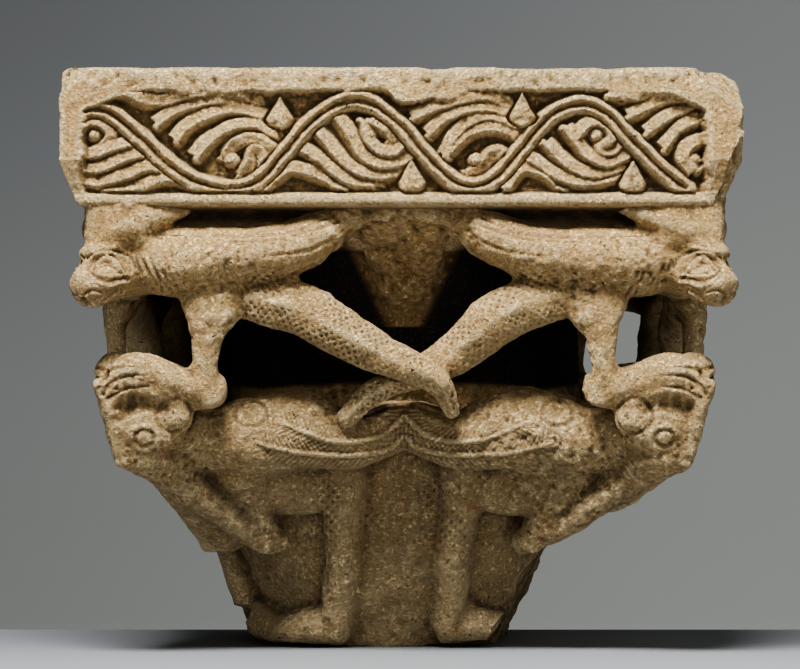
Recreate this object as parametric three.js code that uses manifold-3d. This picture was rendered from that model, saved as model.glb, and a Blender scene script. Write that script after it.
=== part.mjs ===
// A carved stone capital for a slender column, one block of limestone.
// On each of its four faces two winged dragons stand back to back on the heads of two lions.
// Neighbouring faces share the head at their corner, and a vine scroll runs round the square slab on top.
// Millimetres, +Z up, front face towards -Y, origin at the centre of the lower bed.
import * as THREE from "three";
import { mergeVertices } from "three/addons/utils/BufferGeometryUtils.js";
import Module from "manifold-3d";

const wasm = await Module();
wasm.setup();

// Driving dimensions
const capitalHeight = 308;
const slabWidth = 354;
const slabHeight = 71;
const bedDiameter = 140;
const blockShift = 7; // the slab's centre lies this far to the right of the lower bed's
const leanHeight = 90; // the block leans over to that place within this height
const bandHeight = 14; // plain band above the vine
const ledgeHeight = 9; // plain ledge below the vine
const panelDepth = 8.5; // depth of the sunk panel behind the vine
const panelMargin = 9; // plain stone between the panel's end and the corner
const ledgeSetback = 7; // the ledge stands this far behind the band
const edgeWear = 3; // rounding of the worn upper edge

// Fineness of the carving
const limbSides = 8;
const stepsPerPoint = 1;
const massSides = 8;
const massRings = 6;
const faceCount = 9800; // faces left on the whole stone
const shortEdgeWeight = 1e-3; // so that short edges go before long ones on flat stone
const leastFace = 1e-3; // twice the area of the smallest face that is left
const mostTurn = 0.4; // cosine of the furthest that a face may turn

// Derived sizes
const halfWidth = slabWidth / 2;
const bellHeight = capitalHeight - slabHeight;
const bedRadius = bedDiameter / 2;

// A place on a face is given as across, out and up: across runs from the face's centre line towards
// the corner, out from the axis towards the viewer, both in hundredths of the half width,
// and up is in hundredths of the bell's height.
const HUNDREDTH = 0.01;
const share = (hundredths) => hundredths * HUNDREDTH * halfWidth;
const place = ([across, out, up], side = 1) =>
  new THREE.Vector3(side * share(across), -share(out), up * HUNDREDTH * bellHeight);
const toShare = (length) => length / halfWidth / HUNDREDTH;
const toUp = (height) => height / bellHeight / HUNDREDTH;
const mix = (from, to, t) => from + (to - from) * t;

// A geometry with nothing but its points, and its shared points merged
function bareOf(geometry) {
  const bare = new THREE.BufferGeometry();
  bare.setAttribute("position", geometry.getAttribute("position"));
  bare.setIndex(geometry.index);
  return mergeVertices(bare, 1e-3);
}

// A closed geometry, with its faces turned outwards, as a solid
function solidOf(geometry) {
  const merged = bareOf(geometry);
  const points = merged.getAttribute("position");
  const triVerts = new Uint32Array(merged.index.array);
  const corners = [new THREE.Vector3(), new THREE.Vector3(), new THREE.Vector3()];
  let volume = 0;
  for (let i = 0; i < triVerts.length; i += 3) {
    corners.forEach((corner, k) => corner.fromBufferAttribute(points, triVerts[i + k]));
    volume += corners[0].dot(corners[1].cross(corners[2]));
  }
  if (volume < 0) {
    for (let i = 0; i < triVerts.length; i += 3) {
      [triVerts[i + 1], triVerts[i + 2]] = [triVerts[i + 2], triVerts[i + 1]];
    }
  }
  return new wasm.Manifold(new wasm.Mesh({ numProp: 3, vertProperties: points.array, triVerts }));
}

// Value at t, from 0 to 1, of a row of evenly spaced values, eased between them
function along(values, t) {
  const scaled = t * (values.length - 1);
  const left = Math.min(Math.floor(scaled), values.length - 2);
  const rest = scaled - left;
  return mix(values[left], values[left + 1], rest * rest * (3 - 2 * rest));
}

// Cross-sections as points round a limb: along its width, and towards the viewer
const roundSection = Array.from({ length: limbSides }, (_, k) => {
  const corner = (2 * Math.PI) / limbSides;
  const even = Math.sqrt(corner / Math.sin(corner)); // the area of the full ellipse
  return [Math.cos(k * corner) * even, Math.sin(k * corner) * even];
});
// two stems side by side with a groove between them, on a flat bed
const doubledSection = [[1, -1], [0.95, 0.35], [0.5, 1], [0, 0.25], [-0.5, 1], [-0.95, 0.35], [-1, -1]];
// a leaf's lobe or a feather: a ridge on a flat bed
const ridgedSection = [[1, -1], [0.25, 1], [-1, -1]];

// A limb follows a smooth path through places on a face. Its half width is seen from where it faces
// and its depth runs towards there, both in hundredths of the half width of the slab.
const toViewer = new THREE.Vector3(0, -1, 0);
const upwards = new THREE.Vector3(0, 0, 1);

function limb({ path, half, deep, section = roundSection, facing = toViewer }, side = 1) {
  const curve = new THREE.CatmullRomCurve3(path.map((point) => place(point, side)));
  const steps = (path.length - 1) * stepsPerPoint;
  const geometry = new THREE.CylinderGeometry(1, 1, 1, section.length, steps);
  const points = geometry.getAttribute("position");
  for (let i = 0; i < points.count; i++) {
    const t = points.getY(i) + 0.5;
    const radius = Math.hypot(points.getX(i), points.getZ(i));
    const turn = Math.atan2(points.getZ(i), points.getX(i)) / (2 * Math.PI);
    const centre = curve.getPoint(t);
    const tangent = curve.getTangent(t);
    const width = new THREE.Vector3().crossVectors(facing, tangent).normalize();
    const depth = new THREE.Vector3().crossVectors(tangent, width);
    const [w, d] = section[Math.round((turn + 1) * section.length) % section.length];
    centre.addScaledVector(width, radius * w * share(along(half, t)));
    centre.addScaledVector(depth, radius * d * share(along(deep, t)));
    points.setXYZ(i, centre.x, centre.y, centre.z);
  }
  return geometry;
}

// A rounded mass: a ball stretched along across, out and up
function mass({ at, size, square = 1 }, side = 1) {
  const geometry = new THREE.SphereGeometry(1, massSides, massRings);
  const points = geometry.getAttribute("position");
  const centre = place(at, side);
  const [rx, ry, rz] = size.map(share);
  const bulge = (v) => Math.sign(v) * Math.abs(v) ** square;
  for (let i = 0; i < points.count; i++) {
    points.setXYZ(
      i,
      centre.x + bulge(points.getX(i)) * rx,
      centre.y + bulge(points.getZ(i)) * ry,
      centre.z + bulge(points.getY(i)) * rz,
    );
  }
  return geometry;
}

// The dragon's body and folded wing, from the neck to the tip below the slab
const dragonBody = {
  path: [
    [86, 84, 88.5],
    [78.5, 84, 88.6],
    [70.5, 84.5, 88.2],
    [60.6, 85, 88.7],
    [48, 86, 89.4],
    [36, 86.5, 90.6],
    [25.8, 86, 93.8],
    [18, 84.5, 97.3],
    [12, 82, 100],
  ],
  half: [8, 9.2, 10.6, 10.4, 9, 8.4, 7.6, 5.6, 4.5],
  deep: [8, 9.5, 12, 12.5, 11.5, 10, 8.4, 6.4, 5],
};
const dragonLeg = {
  path: [
    [56.5, 83, 85],
    [57.6, 84.5, 76.5],
    [58.6, 84.5, 71.5],
    [59.3, 84.5, 66],
    [59, 84.5, 61.5],
    [57.5, 84.5, 57.5],
  ],
  half: [11, 8.2, 5.2, 3.9, 4, 4.6],
  deep: [10, 8.5, 6, 4.6, 4.6, 4.8],
};
const dragonToes = [
  {
    path: [
      [55.5, 84.5, 58.8],
      [62, 85, 59.8],
      [69, 86, 62],
      [77, 86.5, 64.6],
      [84, 86.3, 64.8],
      [89, 84, 61],
    ],
    half: [3.6, 3.2, 3.2, 3.3, 3.3, 2.8],
    deep: [5, 5.4, 6, 6.6, 6.6, 4.5],
  },
  {
    path: [
      [55.5, 84.5, 55.8],
      [62, 85, 56.6],
      [70, 86.3, 58.2],
      [78, 87.3, 60],
      [84.5, 87, 60],
      [89, 84.5, 57.5],
    ],
    half: [3.4, 3.2, 3, 2.8, 2.7, 2.3],
    deep: [5, 5.4, 6, 6.6, 6.6, 4.5],
  },
];
const nearTail = {
  path: [
    [50, 84, 80.5],
    [40, 85, 79.4],
    [31, 86, 77.5],
    [23.5, 86.8, 74.4],
    [16, 87.5, 71],
    [7.2, 88, 67.2],
    [-1.5, 88.5, 64.8],
    [-10, 86.5, 61],
    [-14.5, 81, 54.5],
  ],
  half: [6.5, 7.7, 7.9, 7.9, 7.2, 5.9, 4.9, 3.8, 2.4],
  deep: [6.5, 7, 7.2, 7, 6.4, 5.6, 4.6, 3.6, 2.4],
};
const farTail = {
  path: [
    [50, 84, 80.5],
    [40, 84.5, 79.2],
    [31, 84, 76.8],
    [23.5, 83, 73],
    [15, 81.5, 67.5],
    [6, 80, 63.8],
    [-3, 79.5, 61.3],
    [-11, 79.5, 58],
    [-18, 78.5, 52.8],
  ],
  half: [6.5, 7.7, 7.9, 7.7, 6.6, 5.2, 4.2, 3.7, 3.1],
  deep: [6.5, 7, 7.2, 6.8, 6, 5, 4.2, 3.6, 3],
};

// The head at the corner, from the neck to the muzzle, and the brow that overhangs it
const dragonHead = {
  path: [
    [66, 66, 89.5],
    [75, 75, 88.4],
    [83, 83, 87],
    [89.5, 89.5, 84.4],
    [93.8, 93.8, 81.6],
  ],
  half: [9, 11, 10.6, 8.6, 6.8],
  deep: [9, 9.4, 8.8, 8, 6.4],
  facing: upwards,
};
const dragonBrow = {
  path: [
    [80, 80, 93],
    [88, 88, 91.4],
    [93.5, 93.5, 89.4],
  ],
  half: [9, 7.6, 5],
  deep: [3.4, 3.2, 2.4],
  facing: upwards,
};
const dragonEar = {
  path: [
    [90, 89, 92.6],
    [83.5, 91, 95.2],
    [77.5, 90.5, 96.6],
    [72.5, 88, 97],
  ],
  half: [3, 3.8, 3.2, 1.6],
  deep: [4, 4, 3.6, 2.5],
};
const dragonEye = { at: [87, 91.2, 86.3], size: [3.6, 2.6, 2.2] };

// The lion below: body with the wing laid along it, belly, legs and the paw under the chin
const lionBody = {
  path: [
    [72, 74, 50],
    [59, 69, 48.5],
    [46.5, 67.5, 49],
    [32.5, 68, 50.5],
    [17, 68, 48.3],
    [5, 67, 51],
    [-4, 66, 52],
  ],
  half: [9.5, 10, 12.6, 12.6, 9.3, 8.4, 7],
  deep: [10, 10.5, 12, 12, 10, 9, 7],
};
const lionBelly = {
  path: [
    [56, 61, 43],
    [44, 60, 40],
    [30, 58, 39],
    [17, 58, 42],
  ],
  half: [8, 10.5, 10.5, 8],
  deep: [8, 9, 9, 8],
};
const lionHindLeg = {
  path: [
    [20, 59, 43],
    [18, 55, 33],
    [17, 50.3, 22],
    [17.3, 45.8, 12],
    [17.5, 41.5, 4],
  ],
  half: [9.5, 7, 6.2, 5.6, 5.6],
  deep: [8.5, 8, 7.6, 6.4, 6],
};
const lionHindPaw = {
  path: [
    [15.5, 41.5, 5],
    [24, 42.3, 5.5],
    [31, 39.5, 4.8],
    [36.5, 34.5, 3.8],
  ],
  half: [6.4, 6, 5, 4],
  deep: [5.5, 6, 6, 5],
};
const lionForearm = {
  path: [
    [77, 75, 43.5],
    [66, 67, 38],
    [53, 60, 31],
    [43, 55, 26.5],
    [38, 52, 25],
  ],
  half: [5.6, 5, 5, 5, 4],
  deep: [7.5, 7.5, 8, 8, 7],
};
const lionUpperArm = {
  path: [
    [49, 64, 42],
    [45.5, 60, 34],
    [41, 55, 25],
  ],
  half: [10, 7, 4.5],
  deep: [8.5, 8, 7],
};
// the wing lies along the body: a round shoulder and long feathers that run to the middle of the face
const wingShoulder = { at: [45.5, 76, 53], size: [6.4, 4.6, 5.6] };
const wingFeather = (row) => ({
  path: [
    [41, 79.5, 51 + row * 3.6],
    [29, 80, 49.5 + row * 3.4],
    [15, 78.5, 48 + row * 2.7],
    [0, 77, 52.5 + row * 2],
  ],
  half: [2.2, 2.6, 2.2, 1.4],
  deep: [1.8, 2.2, 2.2, 1.8],
  section: ridgedSection,
});
const featherRows = [-1, 0, 1];
const plainFeatherRows = [0];
const lionHead = [
  { at: [77, 77, 51.5], size: [13, 13, 10.2], square: 0.85 },
  { at: [78, 78, 45.5], size: [9, 9, 7], square: 0.9 },
];
const lionEar = { at: [67, 82.5, 54], size: [6.2, 5.5, 5.6] };
const lionEye = { at: [77, 87, 49], size: [3.4, 3, 2.6] };
// Curls of the mane, one below the other down the corner
const curlCount = 5;
const curlTop = [90, 90, 60.5];
const curlFoot = [84, 84, 43.5];
const curlSize = 3.4;

// The vine: a wave of two stems, with leaves and buds between its turns. Its turns are crests and
// troughs by turns, as places across in hundredths of the half width.
const vineTurns = [-90, -48.6, -13.6, 20.3, 53.7, 86];
const waveLength = 67; // the usual length of a wave, in the same hundredths
const budShift = 0.21; // how far a bud stands beside a turn, in waves
const vineHalf = 3.4;
const pointsPerTurn = 4;
const leafLobes = 5;
const plainLeafLobes = 3; // on the faces that are cut more plainly

// The bell behind the figures, as radius in bed radii at a height in hundredths of the bell
const bellProfile = [
  [1, 0],
  [1.08, 4],
  [1.24, 12],
  [1.38, 23],
  [1.46, 34],
  [1.48, 46],
  [1.42, 60],
  [1.4, 76],
  [1.52, 88],
  [1.9, 98],
];
const bellSides = 32;
const bellSquare = 0.1; // how far the bell swells towards the corners, as a share of its radius
const squareFrom = 12; // it starts to swell here and is fully swollen there
const squareTo = 34;

// The rough boss left standing under the middle of the slab
const bossTopAcross = 19;
const bossFootAcross = 4;
const bossTopOut = 88;
const bossFootOut = 54;
const bossBack = 40;
const bossFootUp = 76;

// A web of stone left uncut behind the left-hand leg of the front face
const web = { at: [-66, -22, 68], size: [17, 15, 22] };

function bell() {
  const profile = bellProfile.map(
    ([radius, up]) => new THREE.Vector2(radius * bedRadius, up * HUNDREDTH * bellHeight),
  );
  const top = profile[profile.length - 1];
  const head = [top.x, 0].map((radius) => new THREE.Vector2(radius, bellHeight + ledgeHeight));
  const closed = [new THREE.Vector2(0, 0), ...profile, ...head];
  const geometry = new THREE.LatheGeometry(closed, bellSides).rotateX(Math.PI / 2);
  const points = geometry.getAttribute("position");
  for (let i = 0; i < points.count; i++) {
    const turn = Math.atan2(points.getY(i), points.getX(i));
    const swell = THREE.MathUtils.smoothstep(toUp(points.getZ(i)), squareFrom, squareTo);
    const scale = 1 + bellSquare * swell * (0.5 - 0.5 * Math.cos(4 * turn));
    points.setXY(i, points.getX(i) * scale, points.getY(i) * scale);
  }
  return geometry;
}

function boss() {
  const geometry = new THREE.BoxGeometry(2, 2, 2);
  const points = geometry.getAttribute("position");
  for (let i = 0; i < points.count; i++) {
    const upper = points.getZ(i) > 0;
    const front = points.getY(i) < 0;
    const out = front ? (upper ? bossTopOut : bossFootOut) : bossBack;
    const across = points.getX(i) * (upper ? bossTopAcross : bossFootAcross);
    const corner = place([across, out, upper ? 100 : bossFootUp]);
    points.setXYZ(i, corner.x, corner.y, corner.z + (upper ? ledgeHeight / 2 : 0));
  }
  return geometry;
}

// The square slab: a lathe with four sides, so that its mouldings meet in mitres
function slab() {
  const mitre = Math.SQRT2;
  const ledgeHalf = halfWidth - ledgeSetback;
  const outline = [
    [0, bellHeight - ledgeHeight],
    [ledgeHalf * 0.72, bellHeight - ledgeHeight],
    [ledgeHalf * 0.9, bellHeight - ledgeHeight * 0.4],
    [ledgeHalf - 1, bellHeight],
    [ledgeHalf, bellHeight + ledgeHeight],
    [halfWidth, bellHeight + slabHeight / 3],
    [halfWidth, capitalHeight - edgeWear],
    [halfWidth - edgeWear, capitalHeight],
    [0, capitalHeight],
  ].map(([half, up]) => new THREE.Vector2(half * mitre, up));
  return new THREE.LatheGeometry(outline, 4, Math.PI / 4).rotateX(Math.PI / 2);
}

// The sunk panel of one face, a little sloped like the slab's side
const vineFoot = bellHeight + ledgeHeight;
const vineHead = capitalHeight - bandHeight;
const vineMiddle = (vineFoot + vineHead) / 2;
const panelHalf = halfWidth - panelMargin - ledgeSetback;
const panelSlope = ledgeSetback * 0.6;

function panel() {
  const geometry = new THREE.BoxGeometry(2 * panelHalf, 2 * panelDepth, vineHead - vineFoot);
  const points = geometry.getAttribute("position");
  for (let i = 0; i < points.count; i++) {
    const upper = points.getZ(i) > 0;
    const back = points.getY(i) > 0;
    const depth = back ? panelDepth + (upper ? 0 : panelSlope) : -panelDepth;
    points.setXYZ(i, points.getX(i), depth - halfWidth, points.getZ(i) + vineMiddle);
  }
  return geometry;
}

// How far out the panel's bed lies at a height
const bedOut = (height) => {
  const rise = (height - vineFoot) / (vineHead - vineFoot);
  return toShare(halfWidth - panelDepth - panelSlope * (1 - rise) + share(vineHalf) * 0.75);
};
const vineAmplitude = (vineHead - vineFoot) / 2 - share(vineHalf) * 0.95;
// The stem's path: straight slants with rounded turns
const bow = 1.1;

function vineStem() {
  const ends = [-toShare(panelHalf), toShare(panelHalf)];
  const turns = [ends[0], ...vineTurns, ends[1]];
  const path = [];
  for (let i = 0; i < turns.length - 1; i++) {
    const steps = turns[i + 1] - turns[i] > waveLength / 4 ? pointsPerTurn : 1;
    const sign = i % 2 ? 1 : -1; // from a crest down to a trough, or from a trough up to a crest
    for (let k = 0; k < steps; k++) {
      const slant = (sign * Math.sin(bow * Math.cos((Math.PI * k) / steps))) / Math.sin(bow);
      const height = vineMiddle + vineAmplitude * (i > 0 ? slant : 1);
      path.push([mix(turns[i], turns[i + 1], k / steps), bedOut(height), toUp(height)]);
    }
  }
  const foot = vineMiddle - vineAmplitude;
  path.push([ends[1], bedOut(foot), toUp(foot)]);
  const half = path.map(() => vineHalf);
  const deep = path.map(() => vineHalf * 0.8);
  return limb({ path, half, deep, section: doubledSection });
}

// One leaf fills the bay beside a turn: lobes that sweep from the curl by the stem to the left,
// up in the bays above the stem and down in those below it
function leaf(centre, upward, lobes) {
  const sign = upward ? 1 : -1;
  return Array.from({ length: lobes }, (_, k) => {
    const fan = k / (lobes - 1);
    const at = (across, height) => {
      const z = vineMiddle + sign * vineAmplitude * height;
      return [centre + waveLength * across, bedOut(z), toUp(z)];
    };
    return limb({
      path: [
        at(mix(0.08, 0.2, fan), mix(-0.3, 0.62, fan)),
        at(mix(0.03, 0.04, fan), mix(-0.45, 0.72, fan)),
        at(mix(-0.07, -0.22, fan), mix(-0.1, 0.8, fan)),
      ],
      half: [1, 3, 1.8],
      deep: [1.6, 2.6, 2.6],
      section: ridgedSection,
    });
  });
}

function bud(across, height) {
  return mass({ at: [across, bedOut(height), toUp(height)], size: [4, 3.2, 4.4] });
}

function vine(turn) {
  const pieces = [vineStem()];
  const lobes = turn === 0 ? leafLobes : plainLeafLobes;
  vineTurns.forEach((across, i) => {
    const upward = i % 2 === 1; // a leaf stands above each trough and hangs below each crest
    pieces.push(...leaf(across, upward, lobes));
    const height = vineMiddle + vineAmplitude * (upward ? 0.82 : -0.86);
    pieces.push(bud(across + waveLength * budShift, height));
  });
  return pieces;
}

// Both halves of one face: the left dragon's tail passes in front of the right one's
function figures(turn) {
  const pieces = [];
  const feathers = (turn === 0 ? featherRows : plainFeatherRows).map(wingFeather);
  for (const side of [-1, 1]) {
    pieces.push(limb(dragonBody, side), limb(dragonLeg, side), ...dragonToes.map((toe) => limb(toe, side)));
    pieces.push(limb(side < 0 ? nearTail : farTail, side));
    pieces.push(limb(dragonEar, side), mass(dragonEye, side));
    for (const form of [lionBody, lionBelly, lionHindLeg, lionHindPaw, lionForearm, lionUpperArm]) {
      pieces.push(limb(form, side));
    }
    pieces.push(mass(wingShoulder, side), ...feathers.map((feather) => limb(feather, side)));
    pieces.push(mass(lionEar, side), mass(lionEye, side));
  }
  // the heads on this face's right-hand corner
  pieces.push(limb(dragonHead), limb(dragonBrow), ...lionHead.map((form) => mass(form)));
  for (let i = 0; i < curlCount; i++) {
    const at = curlTop.map((top, k) => mix(top, curlFoot[k], i / (curlCount - 1)));
    pieces.push(mass({ at, size: [curlSize, curlSize, curlSize] }));
  }
  return pieces;
}

// Chips broken from the slab's corners. A chip has two legs along the slab's sides, at its foot and
// at its head, in hundredths of the half width, and lies between two heights in those of the slab's.
const chips = [
  { corner: [-1, -1], foot: [11, 26], head: [3, 5], up: [-14, 37] },
  { corner: [1, -1], foot: [14, 29], head: [4, 8], up: [-14, 48] },
  { corner: [1, -1], foot: [2, 2], head: [19, 28], up: [72, 101] },
];
const chipBeyond = 2;

function chip({ corner, foot, head, up }) {
  const outline = new THREE.Shape([[0, 0], [1, 0], [0, 1]].map(([x, y]) => new THREE.Vector2(x, y)));
  const geometry = new THREE.ExtrudeGeometry(outline, { depth: 1, bevelEnabled: false });
  const points = geometry.getAttribute("position");
  for (let i = 0; i < points.count; i++) {
    const t = points.getZ(i);
    const legs = [0, 1].map((k) => chipBeyond + mix(foot[k], head[k], t));
    const x = halfWidth + share(chipBeyond - points.getX(i) * legs[0]);
    const y = halfWidth + share(chipBeyond - points.getY(i) * legs[1]);
    const height = bellHeight + slabHeight * HUNDREDTH * mix(up[0], up[1], t);
    points.setXYZ(i, corner[0] * x, corner[1] * y, height);
  }
  return geometry;
}

// Stone broken away round the foot: how far the break lies from the axis, at the bed and at its top,
// and its width, in hundredths of the bed's radius; its height in hundredths of the bell's
const breaks = [
  { turn: -0.12, foot: 86, head: 134, up: 35.4, width: 272 },
  { turn: 3.3, foot: 94, head: 126, up: 8.4, width: 114 },
];

function breakAway({ turn, foot, head, up, width }) {
  const [near, far, beyond, long] = [foot, head, 200, width].map((size) => size * HUNDREDTH * bedRadius);
  const top = up * HUNDREDTH * bellHeight;
  const outline = new THREE.Shape([
    new THREE.Vector2(near, -1),
    new THREE.Vector2(beyond, -1),
    new THREE.Vector2(beyond, top),
    new THREE.Vector2(far, top),
  ]);
  const geometry = new THREE.ExtrudeGeometry(outline, { depth: long, bevelEnabled: false });
  return geometry.translate(0, 0, -long / 2).rotateX(Math.PI / 2).rotateZ(turn);
}

function carve() {
  const union = (geometries) => wasm.Manifold.union(geometries.map(solidOf));
  const onEach = (make) =>
    [0, 1, 2, 3].flatMap((turn) => make(turn).map((geometry) => geometry.rotateZ((turn * Math.PI) / 2)));
  const block = solidOf(slab());
  const sunk = block.subtract(union(onEach(() => [panel()])));
  const scroll = union(onEach(vine)).intersect(block);
  const lower = union([bell(), mass(web), ...onEach(() => [boss()]), ...onEach(figures)]);
  const broken = lower.subtract(union(breaks.map(breakAway)));
  const whole = sunk.add(scroll).add(broken).subtract(union(chips.map(chip)));
  const limits = new THREE.BoxGeometry(2 * slabWidth, 2 * slabWidth, capitalHeight);
  return whole.intersect(solidOf(limits.translate(0, 0, capitalHeight / 2)));
}

function geometryOf(solid) {
  const made = solid.getMesh();
  const geometry = new THREE.BufferGeometry();
  geometry.setAttribute("position", new THREE.BufferAttribute(made.vertProperties, 3));
  return geometry.setIndex(new THREE.BufferAttribute(made.triVerts, 1));
}

// The largest body of a geometry, without the flakes that the cuts have set free
function largestBody(geometry) {
  const faces = geometry.index.array;
  const parents = Array.from({ length: geometry.getAttribute("position").count }, (_, v) => v);
  const rootOf = (v) => {
    let root = v;
    while (parents[root] !== root) root = parents[root];
    parents[v] = root;
    return root;
  };
  faces.forEach((v, i) => {
    parents[rootOf(v)] = rootOf(faces[i - (i % 3)]);
  });
  const sizes = new Map();
  faces.forEach((v) => sizes.set(rootOf(v), (sizes.get(rootOf(v)) ?? 0) + 1));
  const [largest] = [...sizes].reduce((one, other) => (other[1] > one[1] ? other : one));
  return geometry.setIndex([...faces].filter((v) => rootOf(v) === largest));
}

// The sum of squared distances to planes, as the ten terms of a square form
const formTerms = 10;

function addPlane(form, normal, offset, weight) {
  const row = [normal.x, normal.y, normal.z, offset];
  let k = 0;
  for (let i = 0; i < 4; i++) {
    for (let j = i; j < 4; j++) {
      form[k] += weight * row[i] * row[j];
      k++;
    }
  }
}

function formValue(form, { x, y, z }) {
  const squares = form[0] * x * x + form[4] * y * y + form[7] * z * z + form[9];
  const products = form[1] * x * y + form[2] * x * z + form[5] * y * z;
  return squares + 2 * (products + form[3] * x + form[6] * y + form[8] * z);
}

const crossOf = (a, b, c) => new THREE.Vector3().subVectors(b, a).cross(new THREE.Vector3().subVectors(c, a));

// The stone with fewer faces where it is plain: edges whose loss changes the form least are
// collapsed one by one, and none where the surface would fold over or touch itself
function thinned(geometry) {
  const attribute = geometry.getAttribute("position");
  const index = geometry.index.array;
  const points = Array.from({ length: attribute.count }, (_, i) =>
    new THREE.Vector3().fromBufferAttribute(attribute, i),
  );
  const faces = Array.from({ length: index.length / 3 }, (_, f) => [...index.slice(3 * f, 3 * f + 3)]);
  const forms = points.map(() => new Float64Array(formTerms));
  const around = points.map(() => new Set()); // the faces round each point
  faces.forEach((face, f) => {
    const normal = crossOf(...face.map((v) => points[v]));
    const area = normal.length() / 2;
    normal.normalize();
    for (const v of face) {
      addPlane(forms[v], normal, -normal.dot(points[v]), area);
      around[v].add(f);
    }
  });
  const neighbours = (v) => {
    const found = new Set([...around[v]].flatMap((f) => faces[f]));
    found.delete(v);
    return found;
  };
  const bestPlace = (a, b) => {
    const form = forms[a].map((term, i) => term + forms[b][i]);
    const length = shortEdgeWeight * points[a].distanceToSquared(points[b]);
    return [points[a], points[b], points[a].clone().lerp(points[b], 0.5)]
      .map((at) => ({ at, cost: formValue(form, at) + length }))
      .reduce((best, option) => (option.cost < best.cost ? option : best));
  };
  const keepsFaces = (v, other, at) =>
    [...around[v]].every((f) => {
      if (faces[f].includes(other)) return true;
      const before = crossOf(...faces[f].map((w) => points[w]));
      const after = crossOf(...faces[f].map((w) => (w === v ? at : points[w])));
      return after.length() > leastFace && after.dot(before) > mostTurn * before.length() * after.length();
    });
  const collapse = (a, b, at) => {
    points[a] = at.clone();
    forms[a] = forms[a].map((term, i) => term + forms[b][i]);
    for (const f of around[b]) {
      if (faces[f].includes(a)) {
        faces[f].forEach((v) => v !== b && around[v].delete(f));
        faces[f] = null;
      } else {
        faces[f] = faces[f].map((v) => (v === b ? a : v));
        around[a].add(f);
      }
    }
    around[b].clear();
  };
  let left = faces.length;
  let before = Infinity;
  while (left > faceCount && left < before) {
    before = left;
    const edges = faces
      .filter(Boolean)
      .flatMap(([a, b, c]) => [[a, b], [b, c], [c, a]])
      .filter(([from, to]) => from < to)
      .map(([from, to]) => [from, to, bestPlace(from, to)])
      .sort((one, other) => one[2].cost - other[2].cost);
    const touched = new Set();
    for (const [a, b, { at }] of edges.slice(0, edges.length / 4)) {
      if (left <= faceCount) break;
      if (touched.has(a) || touched.has(b)) continue;
      const rings = [neighbours(a), neighbours(b)];
      const shared = [...rings[0]].filter((v) => rings[1].has(v));
      if (shared.length !== 2 || !keepsFaces(a, b, at) || !keepsFaces(b, a, at)) continue;
      rings.forEach((ring) => ring.forEach((v) => touched.add(v)));
      collapse(a, b, at);
      left -= 2;
    }
  }
  const corners = faces.filter(Boolean).flat();
  const kept = [...new Set(corners)];
  const order = new Map(kept.map((v, i) => [v, i]));
  const thin = new THREE.BufferGeometry().setFromPoints(kept.map((v) => points[v]));
  return thin.setIndex(corners.map((v) => order.get(v)));
}

// The block leans over from its bed to the slab
function lean(geometry) {
  const points = geometry.getAttribute("position");
  for (let i = 0; i < points.count; i++) {
    points.setX(i, points.getX(i) + blockShift * Math.min(1, points.getZ(i) / leanHeight));
  }
  return geometry;
}

const limestone = new THREE.MeshStandardMaterial({ color: 0xb9a585, roughness: 0.92, metalness: 0 });
const capital = new THREE.Group();
const carved = new THREE.Mesh(lean(thinned(largestBody(geometryOf(carve())))), limestone);
carved.name = "capital";
capital.add(carved);

export default capital;
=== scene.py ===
import math

import bmesh
import bpy
import numpy as np
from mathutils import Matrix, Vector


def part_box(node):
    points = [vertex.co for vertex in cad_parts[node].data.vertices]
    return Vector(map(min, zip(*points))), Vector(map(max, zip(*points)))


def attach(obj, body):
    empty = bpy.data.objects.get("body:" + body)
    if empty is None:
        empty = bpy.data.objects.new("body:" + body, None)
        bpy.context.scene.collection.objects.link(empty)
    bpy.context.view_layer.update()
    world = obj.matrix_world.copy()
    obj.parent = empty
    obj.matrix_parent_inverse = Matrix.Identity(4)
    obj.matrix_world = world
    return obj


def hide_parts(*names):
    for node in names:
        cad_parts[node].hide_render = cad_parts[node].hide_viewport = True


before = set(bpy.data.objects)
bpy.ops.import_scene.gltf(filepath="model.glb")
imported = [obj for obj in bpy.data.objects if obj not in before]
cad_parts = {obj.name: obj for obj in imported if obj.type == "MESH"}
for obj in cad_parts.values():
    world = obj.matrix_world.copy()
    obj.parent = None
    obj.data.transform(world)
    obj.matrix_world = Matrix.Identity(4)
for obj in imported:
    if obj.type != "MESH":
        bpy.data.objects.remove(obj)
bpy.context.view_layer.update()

# A carved capital of shelly limestone. One skin is the slab with its vine scroll, the other the
# figures with the bell behind them. Each is cut into pieces that meet edge to edge. Shapes are worked
# out in millimetres, from the middle of the figures' axis, and the stone leans over to it above its bed.
capitalHeight = 1000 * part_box("capital")[1][2]
halfWidth = 177
slabHeight = 71
bellHeight = capitalHeight - slabHeight
blockShift = 7
leanHeight = 90
bedRadius = 70


# numbers
def smoothStep(value, start, end):
    t = np.clip((value - start) / (end - start), 0, 1)
    return t * t * (3 - 2 * t)


def latticeValue(cells, seed):
    # a repeatable random number from 0 to 1 for each whole-numbered place
    mixed = cells[:, 0] * 374761393 + cells[:, 1] * 668265263 + cells[:, 2] * 1442695041 + seed * 974634777
    mixed = (mixed ^ (mixed >> 13)) * 1274126177
    return ((mixed ^ (mixed >> 16)) & 0xFFFFFF) / float(0xFFFFFF)


def smoothNoise(points, size, seed=0):
    # soft noise from -1 to 1 with lumps of the given size in mm
    scaled = points / size
    cell = np.floor(scaled).astype(np.int64)
    part = scaled - cell
    part = part * part * (3 - 2 * part)
    total = np.zeros(len(points))
    for corner in range(8):
        step = np.array([corner & 1, (corner >> 1) & 1, (corner >> 2) & 1])
        weight = np.prod(np.where(step, part, 1 - part), axis=1)
        total += weight * latticeValue(cell + step, seed)
    return 2 * total - 1


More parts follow.
